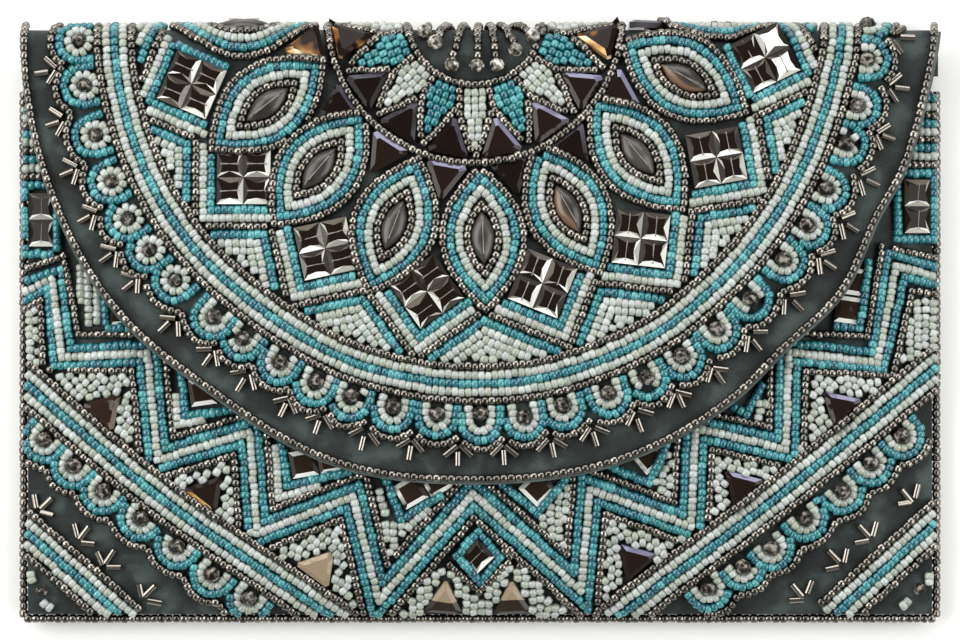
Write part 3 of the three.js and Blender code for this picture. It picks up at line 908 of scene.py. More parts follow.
def triangle(base, reach):
    return np.array([(2 * reach / 3, 0), (-reach / 3, base / 2), (-reach / 3, -base / 2)])


def lens(length, width, count=13):
    """Half a lens: places from tip to tip along one side."""
    t = np.linspace(-1, 1, count)
    return np.stack([length / 2 * t, width / 2 * (1 - t * t)], axis=1)


def whole_lens(length, width, count=13):
    """A lens outline that ends where it starts."""
    side = lens(length, width, count)
    return np.concatenate([side, side[::-1][1:] * [1, -1]])


def chart_stones():
    quad_side = SQUARE_PITCH + SQUARE_SIDE
    diamond = rectangle(quad_side, quad_side) @ np.array([[1, 1], [-1, 1]]) / math.sqrt(2)
    stone = whole_lens(MARQUISE_LENGTH, MARQUISE_WIDTH)[:-1]
    square = rectangle(SQUARE_SIDE, SQUARE_SIDE)
    pair = rectangle(SQUARE_SIDE, quad_side)
    for panel, rows, sign, outline in (
        ("flap", MARQUISES, -1, stone),
        ("flap", QUADS, -1, diamond),
        ("flap", OUTER_TRIANGLES, -1, triangle(*TRIANGLE)),
        ("front", FRONT_TRIANGLES, 1, triangle(*FRONT_TRIANGLE)),
        ("front", [(x, v, 0) for x, v in FRONT_PAIRS], 1, pair),
        ("front", HIDDEN_SQUARES + [(*FRONT_SQUARE, 45)], 1, square),
    ):
        for x, v, turn in rows:
            footprints.append((panel, at_place(x, v, sign * turn)(outline)))
    for step in range(len(OUTER_TRIANGLES)):
        place = on_rose((step + 0.5) * ROSE_STEP, INNER_TRIANGLE_RADIUS)
        footprints.append(("flap", place(triangle(*TRIANGLE) * [-1, 1])))


chart_stones()
print(len(footprints), "stones keep their places free")

# %% [markdown]
# ## The rose: rings
#
# Sixteen petals make a whole rose, and the flap shows half of it. Rings of beads hold it together: two
# thin ones near the middle and a band of five near the edge. A true circle would be simpler, but the
# band was sewn by hand and wanders by two millimetres, so a short table bends it.

# %% Rings
# How far round the fold the rings go on, in degrees
INNER_PAST_FOLD = 15
PAST_FOLD = 3.5
RING_POINTS = 181
# Radius, colour of a ring
INNER_RINGS = [(18.9, "gunmetal"), (40.5, "gunmetal")]
OUTER_RINGS = [
    (96.2, "gunmetal"), (98.6, "white"), (100.9, "turquoise"), (103.2, "white"), (105.6, "gunmetal"),
]
# Angle clockwise from +X, how far the outer rings lie from a true circle there
RING_SHIFT = [
    (0, 0.3), (5, -0.2), (10, -1.0), (20, -1.85), (30, -2.05), (40, -2.0), (50, -1.65), (60, -0.7),
    (70, -0.4), (80, 0.0), (90, 0.0), (100, -0.2), (110, -0.35), (120, -1.2), (130, -1.45),
    (140, -1.0), (150, -1.0), (160, -1.2), (175, -1.5), (180, -1.6),
]


def ring_radius(radius, degrees):
    """Radius of an outer ring at an angle, as it was sewn by hand."""
    return radius + smooth_table(RING_SHIFT, np.clip(degrees, 0, 180))


def chart_rings():
    angles = np.linspace(-INNER_PAST_FOLD, 180 + INNER_PAST_FOLD, RING_POINTS)
    for radius, colour in INNER_RINGS:
        string("flap", colour, polar(radius, angles))
    angles = np.linspace(-PAST_FOLD, 180 + PAST_FOLD, RING_POINTS)
    for radius, colour in OUTER_RINGS:
        string("flap", colour, polar(ring_radius(radius, angles), angles))


chart_rings()
tell_chart("Rings")

# %% [markdown]
# ## The rose: petals and blocks
#
# Each petal is a grey dome in four rows shaped like a lens. Between two petals sits a block of four
# mirror squares with rows along its outer corner. The rows could be offset from the outlines by a
# modifier, but beads need a length along each row, so the lines are worked out here.

# %% Petals and blocks
# Half length, half width, colour of a row round a marquise
PETAL_ROWS = [
    (9.4, 4.25, "gunmetal"), (13.4, 6.6, "white"), (16.9, 9.0, "turquoise"), (19.5, 11.2, "gunmetal"),
]
# Distance of a row from the middle of a block, how far it runs past the middle, colour
BLOCK_ROWS = [(8.9, 7.4, "turquoise"), (11.1, 8.5, "white"), (13.3, 9.5, "gunmetal")]
# The row on the inner side of the first and the last block: its distance, where it starts
BLOCK_INNER = 8.2
BLOCK_INNER_START = BLOCK_ROWS[0][0] - 0.8


def vee(distance, past):
    """A row round the outer corner of a block: two sides that meet in the corner."""
    return block_sides([(distance, -past), (distance, distance), (-past, distance)])


def block_sides(rows):
    """From distances along the normals of a block's two outer sides to (out, aside) rows."""
    slant = math.sqrt(0.5)
    return np.array(rows) @ np.array([(slant, slant), (slant, -slant)])


def chart_petals():
    for x, v, turn in MARQUISES:
        for half_length, half_width, colour in PETAL_ROWS:
            string("flap", colour, at_place(x, v, -turn)(whole_lens(2 * half_length, 2 * half_width)))


def chart_blocks():
    for x, v, turn in QUADS:
        for distance, past, colour in BLOCK_ROWS:
            string("flap", colour, at_place(x, v, -turn)(vee(distance, past)))
    distance, past, colour = BLOCK_ROWS[0]
    for x, v, turn in (QUADS[0], QUADS[-1]):
        inner_side = block_sides([(-BLOCK_INNER, BLOCK_INNER_START), (-BLOCK_INNER, -past)])
        string("flap", colour, at_place(x, v, -turn)(inner_side))


chart_petals()
chart_blocks()
tell_chart("Petals and blocks")

# %% [markdown]
# ## The rose: gores
#
# The wedge between two blocks is a gore. Its rows run beside both blocks and meet in a corner. The
# corner of each row is where two lines cross, which two equations give, so no corner has to be charted.


# %% Sides of a block and the way out to a ring
def side_of(block, side):
    """Middle of a block and the normal of its side after (1) or before (-1) the outer corner."""
    x, v, turn = block
    normal = math.radians(-(turn + 45 * side))
    return np.array([x, v]), np.array([math.cos(normal), math.sin(normal)])


def reach_circle(start, way, radius):
    """Distance from a place along a way to a circle about the middle of the rose."""
    from_middle = start - [CENTRE_X, CENTRE_V]
    along = from_middle @ way
    return -along + math.sqrt(max(along**2 - from_middle @ from_middle + radius**2, 0))


print("The first gore starts beside", side_of(QUADS[0], 1)[0])

# %% Gores
# Distance of a row in a gore from the blocks on both sides, colour
GORE_ROWS = [
    (15.6, "turquoise"), (17.9, "white"), (20.1, "white"), (22.3, "white"), (24.5, "white"),
]
# Radius that the rows run out to, room for a row's corner, and the inset of the fill in the last row
GORE_LIMIT = 94.6
GORE_ROOM = 1.0
GORE_INSET = 1.2
# Distance of a row at the ends of the fold from the last block, start and end along it, colour
END_ROWS_RIGHT = [(15.6, 1.5, 9.5, "turquoise"), (17.8, 4.5, 9.5, "white")]
END_ROWS_LEFT = [(15.6, 0.0, 16.0, "turquoise"), (17.8, 4.0, 16.0, "white"), (20.0, 8.5, 16.0, "white")]


def chart_gores():
    for before, after in zip(QUADS[:-1], QUADS[1:]):
        sides = [side_of(before, 1), side_of(after, -1)]
        normals = np.array([normal for middle, normal in sides])
        offsets = np.array([middle @ normal for middle, normal in sides])
        for distance, colour in GORE_ROWS:
            corner = np.linalg.solve(normals, offsets + distance)
            radial = corner - [CENTRE_X, CENTRE_V]
            angle = math.degrees(math.atan2(-radial[1], radial[0]))
            limit = float(ring_radius(GORE_LIMIT, angle))
            if np.hypot(*radial) > limit - GORE_ROOM:
                continue
            line = []
            for normal in normals:
                way = np.array([-normal[1], normal[0]])
                way = way * np.sign(way @ radial)
                line.append(corner + way * reach_circle(corner, way, limit))
            string("flap", colour, [line[0], corner, line[1]])
            inner_corner = np.linalg.solve(normals, offsets + distance + GORE_INSET)
        fill("flap", "white", [line[0], inner_corner, line[1]], angle)
    for block, side, rows in ((QUADS[0], -1, END_ROWS_RIGHT), (QUADS[-1], 1, END_ROWS_LEFT)):
        middle, normal = side_of(block, side)
        way = np.array([-normal[1], normal[0]])
        way = way * np.sign(way[1])
        for distance, start, end, colour in rows:
            foot = middle + normal * distance
            string("flap", colour, [foot + way * start, foot + way * end])


chart_gores()
tell_chart("Gores")

# %% [markdown]
# ## The rose: inner petals and core
#
# Nine small petals in turquoise and white stand between two rings. Inside them, strings run down from
# the fold, each with a crystal at its end. The petals are alike, so one is drawn and turned; the strings
# are not, so each has a row in a table.

# %% Inner petals and core
# Beads in the rows of an inner petal, from the core out, then the gunmetal line round it: distance
# out, distance aside. The petal in the middle is longer.
INNER_PETAL = ([3, 4, 4, 3, 2, 2, 1], [(20.6, 4.3), (26.2, 4.8), (31.4, 3.2), (37.6, 0.5)])
LONG_PETAL = ([3, 3, 3, 3, 2, 2, 2, 1], [(20.6, 4.3), (27.0, 4.3), (33.0, 2.7), (38.4, 0.5)])
LONG_PETAL_STEP = 4
INNER_PETAL_START = 21.2
INNER_PETAL_STEP = 2.04
# Length of a row in an inner petal, as a share of its beads' lengths
INNER_PETAL_SPREAD = 1.12
# Middle of a crystal in the core
CORE_CRYSTALS = [
    (-15.3, 79.5), (-12.3, 76.3), (-7.7, 70.6), (-0.8, 70.3), (4.7, 70.5), (9.7, 74.4),
    (14.5, 78.1), (17.0, 80.5),
]
CORE_CRYSTAL_RADIUS = 2.2
CORE_THREAD_HEIGHT = 2.6
# A string of the core: its place on the fold, then its lower end
CORE_STRINGS = [
    (-14.5, 91.0, -14.3, 81.3), (-7.0, 91.0, -11.7, 77.9), (-3.2, 91.0, -7.3, 72.5),
    (-0.2, 91.0, -0.7, 72.2), (2.0, 91.0, 4.5, 72.4), (3.4, 91.0, 9.2, 76.2),
    (6.0, 91.0, 13.6, 79.8),
]


def chart_inner_petals():
    for step in range(len(MARQUISES)):
        place = on_rose(step * ROSE_STEP, 0)
        counts, edge = LONG_PETAL if step == LONG_PETAL_STEP else INNER_PETAL
        for flip in (1, -1):
            string("flap", "gunmetal", place(np.array(edge) * [1, flip]))
        colour = "turquoise" if step % 2 else "white"
        for row, count in enumerate(counts):
            out = INNER_PETAL_START + row * INNER_PETAL_STEP
            width = count * PITCH[colour] * INNER_PETAL_SPREAD
            string("flap", colour, place([(out, -width / 2), (out, width / 2)]))


def chart_core():
    for x, v in CORE_CRYSTALS:
        crystals.append(("flap", x, v, CORE_CRYSTAL_RADIUS))
    for (x0, v0, x1, v1), crystal in zip(CORE_STRINGS, CORE_CRYSTALS):
        string("flap", "gunmetal", [(x0, v0), (x1, v1)])
        threads.append(("flap", [(x1, v1), crystal], CORE_THREAD_HEIGHT))


chart_inner_petals()
chart_core()
tell_chart("Core")

# %% [markdown]
# ## The rose: scallops
#
# Outside the band hang scallops, each a crystal in a white and a turquoise cup, with a gunmetal line
# waving round them all and three bugles in every valley. The cups on the left close round their
# crystals. All are one motif with three numbers each, because only their angles and lengths differ.

# %% Places of the scallops
# Angle of a scallop, radius of its crystal, radius of the bottom of its white row
CLOSED_SCALLOPS = [
    (176.4, 109.1, 112.2), (170.0, 108.8, 112.2), (162.6, 109.1, 112.4), (155.5, 109.5, 112.7),
    (149.6, 110.1, 113.3), (144.2, 109.8, 113.0), (138.5, 109.5, 112.7),
]
OPEN_SCALLOPS = [
    (130.8, 108.7, 112.4), (125.6, 108.5, 111.9), (119.3, 108.5, 111.9), (113.4, 108.7, 112.9),
    (108.0, 109.1, 113.2), (101.8, 108.9, 113.2), (95.4, 109.1, 113.1), (89.2, 108.5, 113.9),
    (83.0, 110.5, 113.9), (77.3, 108.8, 112.9), (70.6, 109.1, 113.0), (64.7, 109.3, 112.6),
    (58.8, 108.5, 112.6), (52.4, 108.0, 111.6), (45.9, 107.8, 111.0), (38.4, 107.2, 111.0),
    (32.3, 107.2, 111.0), (26.3, 107.0, 110.5), (19.0, 107.2, 110.5), (13.2, 107.4, 111.0),
    (6.2, 107.9, 111.5), (0.5, 108.0, 111.5),
]
print(len(CLOSED_SCALLOPS), "closed and", len(OPEN_SCALLOPS), "open scallops")

# %% Scallops
SCALLOP_CRYSTAL_RADIUS = 2.35
RING_CRYSTAL_RADIUS = 2.0
SCALLOP_CRYSTAL_OUT = 0.4
SCALLOP_TOP = 1.2
# Half width of the white cup, radius of the white ring of a closed one, half width of the next cup
SCALLOP_WHITE = 3.05
SCALLOP_RING = 3.1
SCALLOP_TURQUOISE = 5.2
SCALLOP_TURQUOISE_BELOW = 2.45
SCALLOP_GUNMETAL_BELOW = 4.9
SCALLOP_GUNMETAL_RISE = 3.2
CIRCLE = np.radians(np.linspace(0, 360, 25))
# Places along one wave of the gunmetal line, from valley to valley
WAVE = np.linspace(-1, 1, 15)
TRIDENT_BELOW = 2.0
TRIDENT_STRAY = 0.25
TRIDENT_ROOF = [(0.4, 0.5), (3.2, 3.7)]
TRIDENT_STEM = [(2.0, 0.0), (5.9, 0.0)]


def chart_scallops():
    rows = [(*row, True) for row in CLOSED_SCALLOPS] + [(*row, False) for row in OPEN_SCALLOPS]
    angles = [row[0] for row in rows]
    bottoms = [row[2] for row in rows]
    for angle, jewel, bottom, is_closed in rows:
        place = on_rose(angle, 0)
        top = float(ring_radius(OUTER_RINGS[-1][0], angle)) + SCALLOP_TOP
        white = cup(SCALLOP_WHITE, top, bottom - SCALLOP_WHITE)
        if is_closed:
            white = [jewel, 0] + SCALLOP_RING * np.stack([np.cos(CIRCLE), np.sin(CIRCLE)], axis=1)
        string("flap", "white", place(white))
        low = bottom + SCALLOP_TURQUOISE_BELOW - SCALLOP_TURQUOISE
        string("flap", "turquoise", place(cup(SCALLOP_TURQUOISE, top, low)))
        radius = RING_CRYSTAL_RADIUS if is_closed else SCALLOP_CRYSTAL_RADIUS
        middle = place([(jewel if is_closed else jewel + SCALLOP_CRYSTAL_OUT, 0)])[0]
        crystals.append(("flap", *middle, radius))
    middles = [(a + b) / 2 for a, b in zip(angles[:-1], angles[1:])]
    middles = [2 * angles[0] - middles[0], *middles, 2 * angles[-1] - middles[-1]]
    lows = [(a + b) / 2 for a, b in zip(bottoms[:-1], bottoms[1:])]
    lows = np.array([bottoms[0], *lows, bottoms[-1]]) + SCALLOP_GUNMETAL_BELOW - SCALLOP_GUNMETAL_RISE
    for index, angle in enumerate(angles):
        bend = np.interp(WAVE, [-1, 0, 1], [middles[index], angle, middles[index + 1]])
        valley = np.where(WAVE < 0, lows[index], lows[index + 1])
        bottom = bottoms[index] + SCALLOP_GUNMETAL_BELOW
        string("flap", "gunmetal", polar(bottom - (bottom - valley) * WAVE**2, bend))
    for angle, low in list(zip(middles, lows))[1:-1]:
        place = on_rose(angle + hand.normal(0, TRIDENT_STRAY), low + TRIDENT_BELOW)
        trident("flap", place, TRIDENT_ROOF, TRIDENT_STEM)


chart_scallops()
tell_chart("Scallops")

# %% [markdown]
# ## The front: bands
#
# Below the flap, a band of five rows with scallops runs round each lower corner, and a shorter band
# cuts the corner off. Left could be a mirror image of right, but the two were sewn apart and differ by
# a few millimetres, so each side has its own places.

# %% Scallops of the bands
# Crystals in the scallops of the bands
BAND_CRYSTALS = {
    "left": [
        (-119.9, -32.5), (-111.7, -39.6), (-103.5, -46.5), (-93.2, -53.9), (-83.2, -61.5),
        (-73.6, -69.2), (-63.6, -75.5),
    ],
    "right": [
        (116.0, -31.4), (107.4, -38.8), (99.5, -46.5), (89.3, -53.9), (80.0, -61.9), (72.3, -67.1),
        (62.9, -72.9),
    ],
}
# The way the scallops of a band open, at its upper and its lower end
BAND_SCALLOP_WAY = {"left": (-131, -126), "right": (-50, -53)}
BAND_SCALLOP_ROWS = [(3.3, "white"), (5.6, "turquoise")]
BAND_CUP_TOP = -2.6
BAND_EDGE_BOTTOM = 7.9
BAND_EDGE_VALLEY = 5.8


def chart_band_scallops(side):
    """Crystals in white and turquoise cups outside a band, with a gunmetal line that waves round."""
    middles = np.array(BAND_CRYSTALS[side])
    ways = np.linspace(*BAND_SCALLOP_WAY[side], len(middles))
    for (x, v), way in zip(middles, ways):
        place = at_place(x, v, way)
        for half, colour in BAND_SCALLOP_ROWS:
            string("front", colour, place(cup(half, BAND_CUP_TOP, 0.0)))
        crystals.append(("front", x, v, SCALLOP_CRYSTAL_RADIUS))
    between = (middles[:-1] + middles[1:]) / 2
    between = np.concatenate([[2 * middles[0] - between[0]], between, [2 * middles[-1] - between[-1]]])
    t = WAVE[:, None]
    for index, way in enumerate(np.radians(ways)):
        after = between[index + 1] - middles[index]
        before = middles[index] - between[index]
        out = BAND_EDGE_BOTTOM - (BAND_EDGE_BOTTOM - BAND_EDGE_VALLEY) * t * t
        along = np.where(t < 0, before, after) * t
        string("front", "gunmetal", middles[index] + along + out * [math.cos(way), math.sin(way)])


print("Scallops of the bands:", {side: len(rows) for side, rows in BAND_CRYSTALS.items()})

# %% Bands
# Distance of two rows of a band or of the zigzag
ROW = 2.4
# Rows across a band, out toward the corner of the bag
BAND_ROWS = [(0, "turquoise"), (1, "white"), (-1, "white"), (2, "gunmetal"), (-2, "gunmetal")]
# Middle row of each band, from the side of the bag to its bottom
BANDS = {
    "left": [(-127.9, -14.7), (-88.0, -48.1), (-36.3, -83.9)],
    "right": [(127.4, -11.2), (79.7, -49.5), (34.8, -83.1)],
}
CORNER_BANDS = {
    "left": [(-127.8, -55.7), (-96.8, -82.6)],
    "right": [(128.3, -53.1), (96.8, -81.3)],
}
OUT = {"left": -1, "right": 1}
# Where the tridents of a corner start, and the way their stems point
CORNER_TRIDENTS = {
    "left": ([(-122.0, -52.0), (-111.2, -60.6), (-103.8, -67.4), (-93.1, -76.3)], 49),
    "right": ([(119.8, -50.0), (107.8, -60.2), (100.1, -67.1), (90.2, -75.9)], 131),
}
CORNER_TRIDENT_STRAY = 4
CORNER_ROOF = [(0.6, 0.9), (2.7, 4.1)]
CORNER_STEM = [(0.9, 0.0), (5.4, 0.0)]


def chart_bands():
    for side, sign in OUT.items():
        band = smooth_line(BANDS[side])
        corner = smooth_line(CORNER_BANDS[side])
        for rows, colour in BAND_ROWS:
            string("front", colour, beside(band, sign * rows * ROW))
            string("front", colour, beside(corner, sign * rows * ROW))
        chart_band_scallops(side)
        origins, stem_way = CORNER_TRIDENTS[side]
        for x, v in origins:
            place = at_place(x, v, stem_way + hand.normal(0, CORNER_TRIDENT_STRAY))
            trident("front", place, CORNER_ROOF, CORNER_STEM)


chart_bands()
tell_chart("Bands")

# %% [markdown]
# ## The front: zigzag
#
# A zigzag of five rows crosses the front. One row is charted corner by corner and the others lie beside
# it with sharp corners. Only their ends differ, because they run out under the flap.

# %% Zigzag
# Corners of the white row of the zigzag, from left to right
ZIGZAG = [
    (-125.2, 8.5), (-117.9, 11.9), (-115.1, -9.8), (-91.3, -8.5), (-88.5, -37.9), (-63.2, -30.2),
    (-61.3, -58.0), (-34.9, -47.8), (-28.0, -76.4), (-1.9, -47.0), (27.8, -73.7), (30.2, -45.9),
    (58.0, -56.1), (59.1, -29.1), (84.1, -34.9), (84.7, -8.2), (109.3, -11.3), (114.5, 15.4),
    (124.6, 12.8),
]
# Rows beside the white one: how many rows up, colour
ZIGZAG_ROWS = [(0, "white"), (1, "turquoise"), (-1, "turquoise"), (2, "gunmetal"), (-2, "gunmetal")]
# The first and the last corners of each row
ZIGZAG_STARTS = [
    ZIGZAG[:3],
    [(-124.6, 11.6), (-115.4, 14.6), (-112.7, -7.4)],
    [(-125.2, 6.1), (-119.1, 9.1), (-117.3, -12.2)],
    [(-124.5, 15.0), (-114.6, 18.1), (-110.5, -3.4)],
    [(-125.2, 3.6), (-121.2, 6.1), (-120.3, -13.0)],
]
ZIGZAG_ENDS = [
    ZIGZAG[-3:],
    [(107.9, -8.0), (112.3, 19.0), (125.2, 15.4)],
    [(111.1, -13.2), (117.0, 12.4), (125.2, 10.3)],
    [(106.4, -4.0), (110.6, 20.8), (125.2, 17.7)],
    [(113.6, -14.6), (119.0, 8.6), (125.2, 7.9)],
]


def chart_zigzag():
    for (rows, colour), first, last in zip(ZIGZAG_ROWS, ZIGZAG_STARTS, ZIGZAG_ENDS):
        line = beside(ZIGZAG, rows * ROW)
        line[:3] = first
        line[-3:] = last
        string("front", colour, line)


chart_zigzag()
tell_chart("Zigzag")

# %% [markdown]
# ## The front: sides, pockets and middle
#
# Short rows climb the sides beside a framed pair of squares. The pockets over the zigzag hold a few
# short strings, a diamond frames the square in the middle, and each corner of the bag has a crystal.
# None of these repeats in a regular way, so each is a short line in a table.

# %% Sides
# Heights of the short rows at the upper sides, and their colours from the top down
SIDE_ROWS = {
    "left": [58.7, 56.5, 54.2, 51.9, 49.6, 47.4, 44.9, 42.5, 40.2],
    "right": [61.8, 59.5, 57.1, 54.9, 52.6, 50.4, 48.1, 45.8, 43.5],
}
SIDE_COLOURS = ("turquoise", "white", "gunmetal") * 3
SIDE_INNER = 108.0
SIDE_OUTER = 126.0
# Corners of the turquoise frame round a pair of squares: right, top, left, bottom
PAIR_FRAMES = [(-116.3, 37.8, -125.4, 18.7), (125.2, 41.1, 115.0, 22.8)]


def chart_sides():
    for side, rows in SIDE_ROWS.items():
        for height, colour in zip(rows, SIDE_COLOURS):
            ends = [(OUT[side] * reach, height) for reach in (SIDE_OUTER, SIDE_INNER)]
            string("front", colour, ends)
    for right, top, left, bottom in PAIR_FRAMES:
        corners = [(right, top), (left, top), (left, bottom), (right, bottom), (right, top)]
        string("front", "turquoise", corners)


chart_sides()
tell_chart("Sides")

# %% Pockets, middle and corners
# Short strings in the pockets above the zigzag: colour, then the corners
POCKET_STRINGS = [
    ("white", [(-110.0, 15.9), (-109.6, 4.9)]),
    ("white", [(-107.8, 14.0), (-107.6, -1.2)]),
    ("white", [(-105.3, 10.0), (-105.3, -0.6)]),
    ("turquoise", [(-102.9, 8.0), (-102.7, -1.0)]),
    ("turquoise", [(-102.7, -1.6), (-96.0, -1.6)]),
    ("turquoise", [(106.9, 16.4), (104.0, -1.7), (98.0, -1.2)]),
    ("turquoise", [(-82.3, -12.0), (-80.8, -25.6), (-68.0, -24.2)]),
    ("white", [(-83.4, -20.5), (-83.1, -28.2), (-74.8, -26.5)]),
    ("turquoise", [(-54.7, -32.0), (-52.8, -44.9), (-34.5, -40.6)]),
    ("white", [(-56.2, -34.5), (-55.3, -48.2), (-42.9, -44.5)]),
    ("turquoise", [(-26.2, -42.0), (-21.5, -54.2), (-6.5, -44.6)]),
    ("white", [(-27.8, -45.5), (-25.9, -53.2)]),
    ("white", [(-20.4, -56.7), (-13.6, -51.0)]),
    ("turquoise", [(4.8, -43.4), (15.8, -52.6), (24.4, -42.0)]),
    ("turquoise", [(34.0, -38.9), (46.4, -44.2), (51.2, -33.6)]),
    ("turquoise", [(68.0, -22.2), (73.3, -25.4), (77.2, -17.4)]),
]
# Each corner of the bag: a crystal and two short white strings
CORNER_CRYSTALS = [(-120.9, -74.2), (121.2, -73.7)]
CORNER_STRINGS = [
    [(-124.2, -69.0), (-123.4, -72.0)], [(-121.0, -77.0), (-118.2, -79.4)],
    [(124.2, -69.6), (123.9, -72.6)], [(118.6, -76.6), (116.4, -78.8)],
]
# The turquoise diamond and the gunmetal rows round the square in the middle
DIAMOND = [(-0.5, -57.4), (5.6, -64.5), (0.0, -71.3), (-6.4, -63.7), (-0.5, -57.4)]
MIDDLE_ROWS = [
    [(-12.2, -66.8), (-1.4, -54.5), (11.0, -66.8)],
    [(-8.3, -66.6), (-0.3, -73.9), (7.6, -66.0)],
]
CORNER_CRYSTAL_RADIUS = 1.9


def chart_pockets():
    for colour, corners in POCKET_STRINGS:
        string("front", colour, corners)
    string("front", "turquoise", DIAMOND)
    for corners in MIDDLE_ROWS:
        string("front", "gunmetal", corners)
    for x, v in CORNER_CRYSTALS:
        crystals.append(("front", x, v, CORNER_CRYSTAL_RADIUS))
    for corners in CORNER_STRINGS:
        string("front", "white", corners)


chart_pockets()
tell_chart("Pockets")

# %% [markdown]
# ## The front: white grounds
#
# The ground round the triangles is filled with white beads, packed close and a little out of line. Each
# ground is an outline, and rows with a random start fill it. A second, random helping goes into the
# gaps, as a bead worker adds beads until no cloth shows.

# %% White grounds
# Corners of the zigzag that point up
PEAKS = (3, 5, 7, 11, 13, 15)
# How far the fill under a peak of the zigzag reaches into the band
PEAK_FILL = 5.0
# Extra white fills: corners of each
WHITE_FILLS = [
    [(-22.0, -80.6), (-16.2, -80.6), (-9.8, -67.8), (-12.2, -66.5)],
    [(-9.6, -67.2), (-4.4, -80.6), (3.4, -80.6), (8.4, -67.2), (-0.6, -74.8)],
    [(9.4, -67.8), (11.6, -66.5), (24.5, -80.6), (14.6, -80.6)],
    [(-125.0, 2.0), (-122.4, 3.4), (-121.6, -11.6), (-125.0, -12.6)],
    [(125.0, 6.4), (120.4, 7.2), (117.4, -6.0), (115.8, -12.0), (125.0, -8.0)],
    [(17.4, -52.6), (24.6, -43.6), (26.0, -43.6), (25.0, -63.0), (21.4, -62.4), (15.4, -55.0)],
    [(47.8, -43.4), (52.0, -34.0), (54.2, -34.0), (53.8, -48.4), (49.8, -47.8)],
    [(75.0, -24.2), (78.2, -16.0), (80.0, -16.0), (79.8, -28.0), (76.4, -27.2)],
    [(-28.0, -52.6), (-22.4, -54.8), (-19.6, -57.4), (-25.4, -64.4)],
]


def chart_fills():
    """White beads round the triangles, in the side pockets and in the corners."""
    for peak in PEAKS:
        before, top, after = np.array(ZIGZAG[peak - 1 : peak + 2])
        way = unit(after - before)
        down = np.array([way[1], -way[0]]) * PEAK_FILL
        outline = [before, top, after, after + down, before + down]
        fill("front", "white", outline, math.degrees(math.atan2(way[1], way[0])))
    for outline in WHITE_FILLS:
        fill("front", "white", outline, 90)


chart_fills()
tell_chart("White grounds")

# %% [markdown]
# ## Room for every bead
#
# Two real beads cannot share a place. A physics solver could push them apart, but it would be slow and
# would blur the rows. Here each bead is tested once, in the order of sewing. A bead on the flap whose
# string runs over the rim of a stone is lifted onto the rim. Beads well inside a stone, too near another
# bead, or under the turn of the fold are left out.


# %% Depth inside an outline
def depth_inside(places, outline):
    """How far places lie inside a convex outline; negative outside."""
    after = np.roll(outline, -1, axis=0)
    edges = after - outline
    turning = np.sign(np.sum(outline[:, 0] * after[:, 1] - outline[:, 1] * after[:, 0]))
    depths = []
    for start, edge in zip(outline, unit(edges)):
        away = places - start
        depths.append(turning * (edge[0] * away[:, 1] - edge[1] * away[:, 0]))
    return np.min(depths, axis=0)


print("Depth of the middle of a square:", depth_inside(np.zeros((1, 2)), rectangle(2.0, 2.0)))

# %% Beads that have room
# Height of the rim that lifts a bead, and how wide it is
STONE_RIM = 1.6
RIM_WIDTH = 1.1
# How far inside a stone a bead may lie: on the flap, in a fill, on the front
STRING_DEPTH = 2.4
FILL_DEPTH = -0.6
FRONT_DEPTH = 1.0
# Height under which the fold hides a bead, and the room round crystals and below the mouth
LOWEST_BEAD = 2.6
CRYSTAL_ROOM = 0.5
MOUTH_ROOM = 1.0
# Beads are looked up in square cells, so that only near ones are compared
CELL = 2


def seat_beads():
    """The chart with a rise for every bead, without the beads that have no room."""
    panels, colours, x, v, angles, rooms = zip(*chart)
    places = np.stack([x, v], axis=1)
    on_flap = np.array(panels) == "flap"
    is_string = np.array(rooms) == STRING_ROOM
    limit = np.where(is_string, np.where(on_flap, STRING_DEPTH, FRONT_DEPTH), FILL_DEPTH)
    rise = np.zeros(len(chart))
    free = np.ones(len(chart), bool)
    for panel, outline in footprints:
        here = on_flap == (panel == "flap")
        depth = np.where(here, depth_inside(places, outline), -np.inf)
        free &= depth < limit
        rise = np.maximum(rise, STONE_RIM * np.clip(depth / RIM_WIDTH + 1, 0, 1))
    for panel, x, v, radius in crystals:
        here = on_flap == (panel == "flap")
        free &= ~(here & (np.hypot(places[:, 0] - x, places[:, 1] - v) < radius + CRYSTAL_ROOM))
    free &= on_flap | (np.abs(places[:, 0]) < HALF_WIDTH + 2 * RIM_MARGIN)
    free &= on_flap | (places[:, 1] > BOTTOM_Y - RIM_MARGIN / 2)
    free &= on_flap | (places[:, 1] < MOUTH_Y - MOUTH_ROOM)
    free &= ~on_flap | (flap_point(places[:, 0], places[:, 1])[:, 2] > LOWEST_BEAD)
    cells = {}
    kept = []
    for index in np.flatnonzero(free):
        panel, colour, x, v, angle, room = chart[index]
        cell = (int(x // CELL), int(v // CELL))
        around = [
            other
            for dx in (-1, 0, 1)
            for dv in (-1, 0, 1)
            for other in cells.get((panel, cell[0] + dx, cell[1] + dv), ())
        ]
        if any(math.hypot(x - o[0], v - o[1]) < (room + o[2]) / 2 for o in around):
            continue
        cells.setdefault((panel, *cell), []).append((x, v, room))
        kept.append((panel, colour, x, v, angle, rise[index]))
    return kept


beads = seat_beads()
print(f"{len(beads)} of {len(chart)} charted beads have room")

# %% [markdown]
# ## One tree that sews
#
# Copying a bead with a loop would make thousands of objects. A Geometry Nodes tree is made for this: it
# puts a copy of one bead on every point. Each point says which way the hole runs and which way is out of
# the cloth. Size, tilt and tone differ a little from bead to bead with a fixed seed. The result is
# realized and kept as a plain mesh.


# %% The sewing tree
SEWING_INPUTS = {
    "Places": "Geometry", "Bead": "Object", "Size Spread": "Float", "Tilt": "Float", "Seed": "Int",
    "Material": "Material",
}


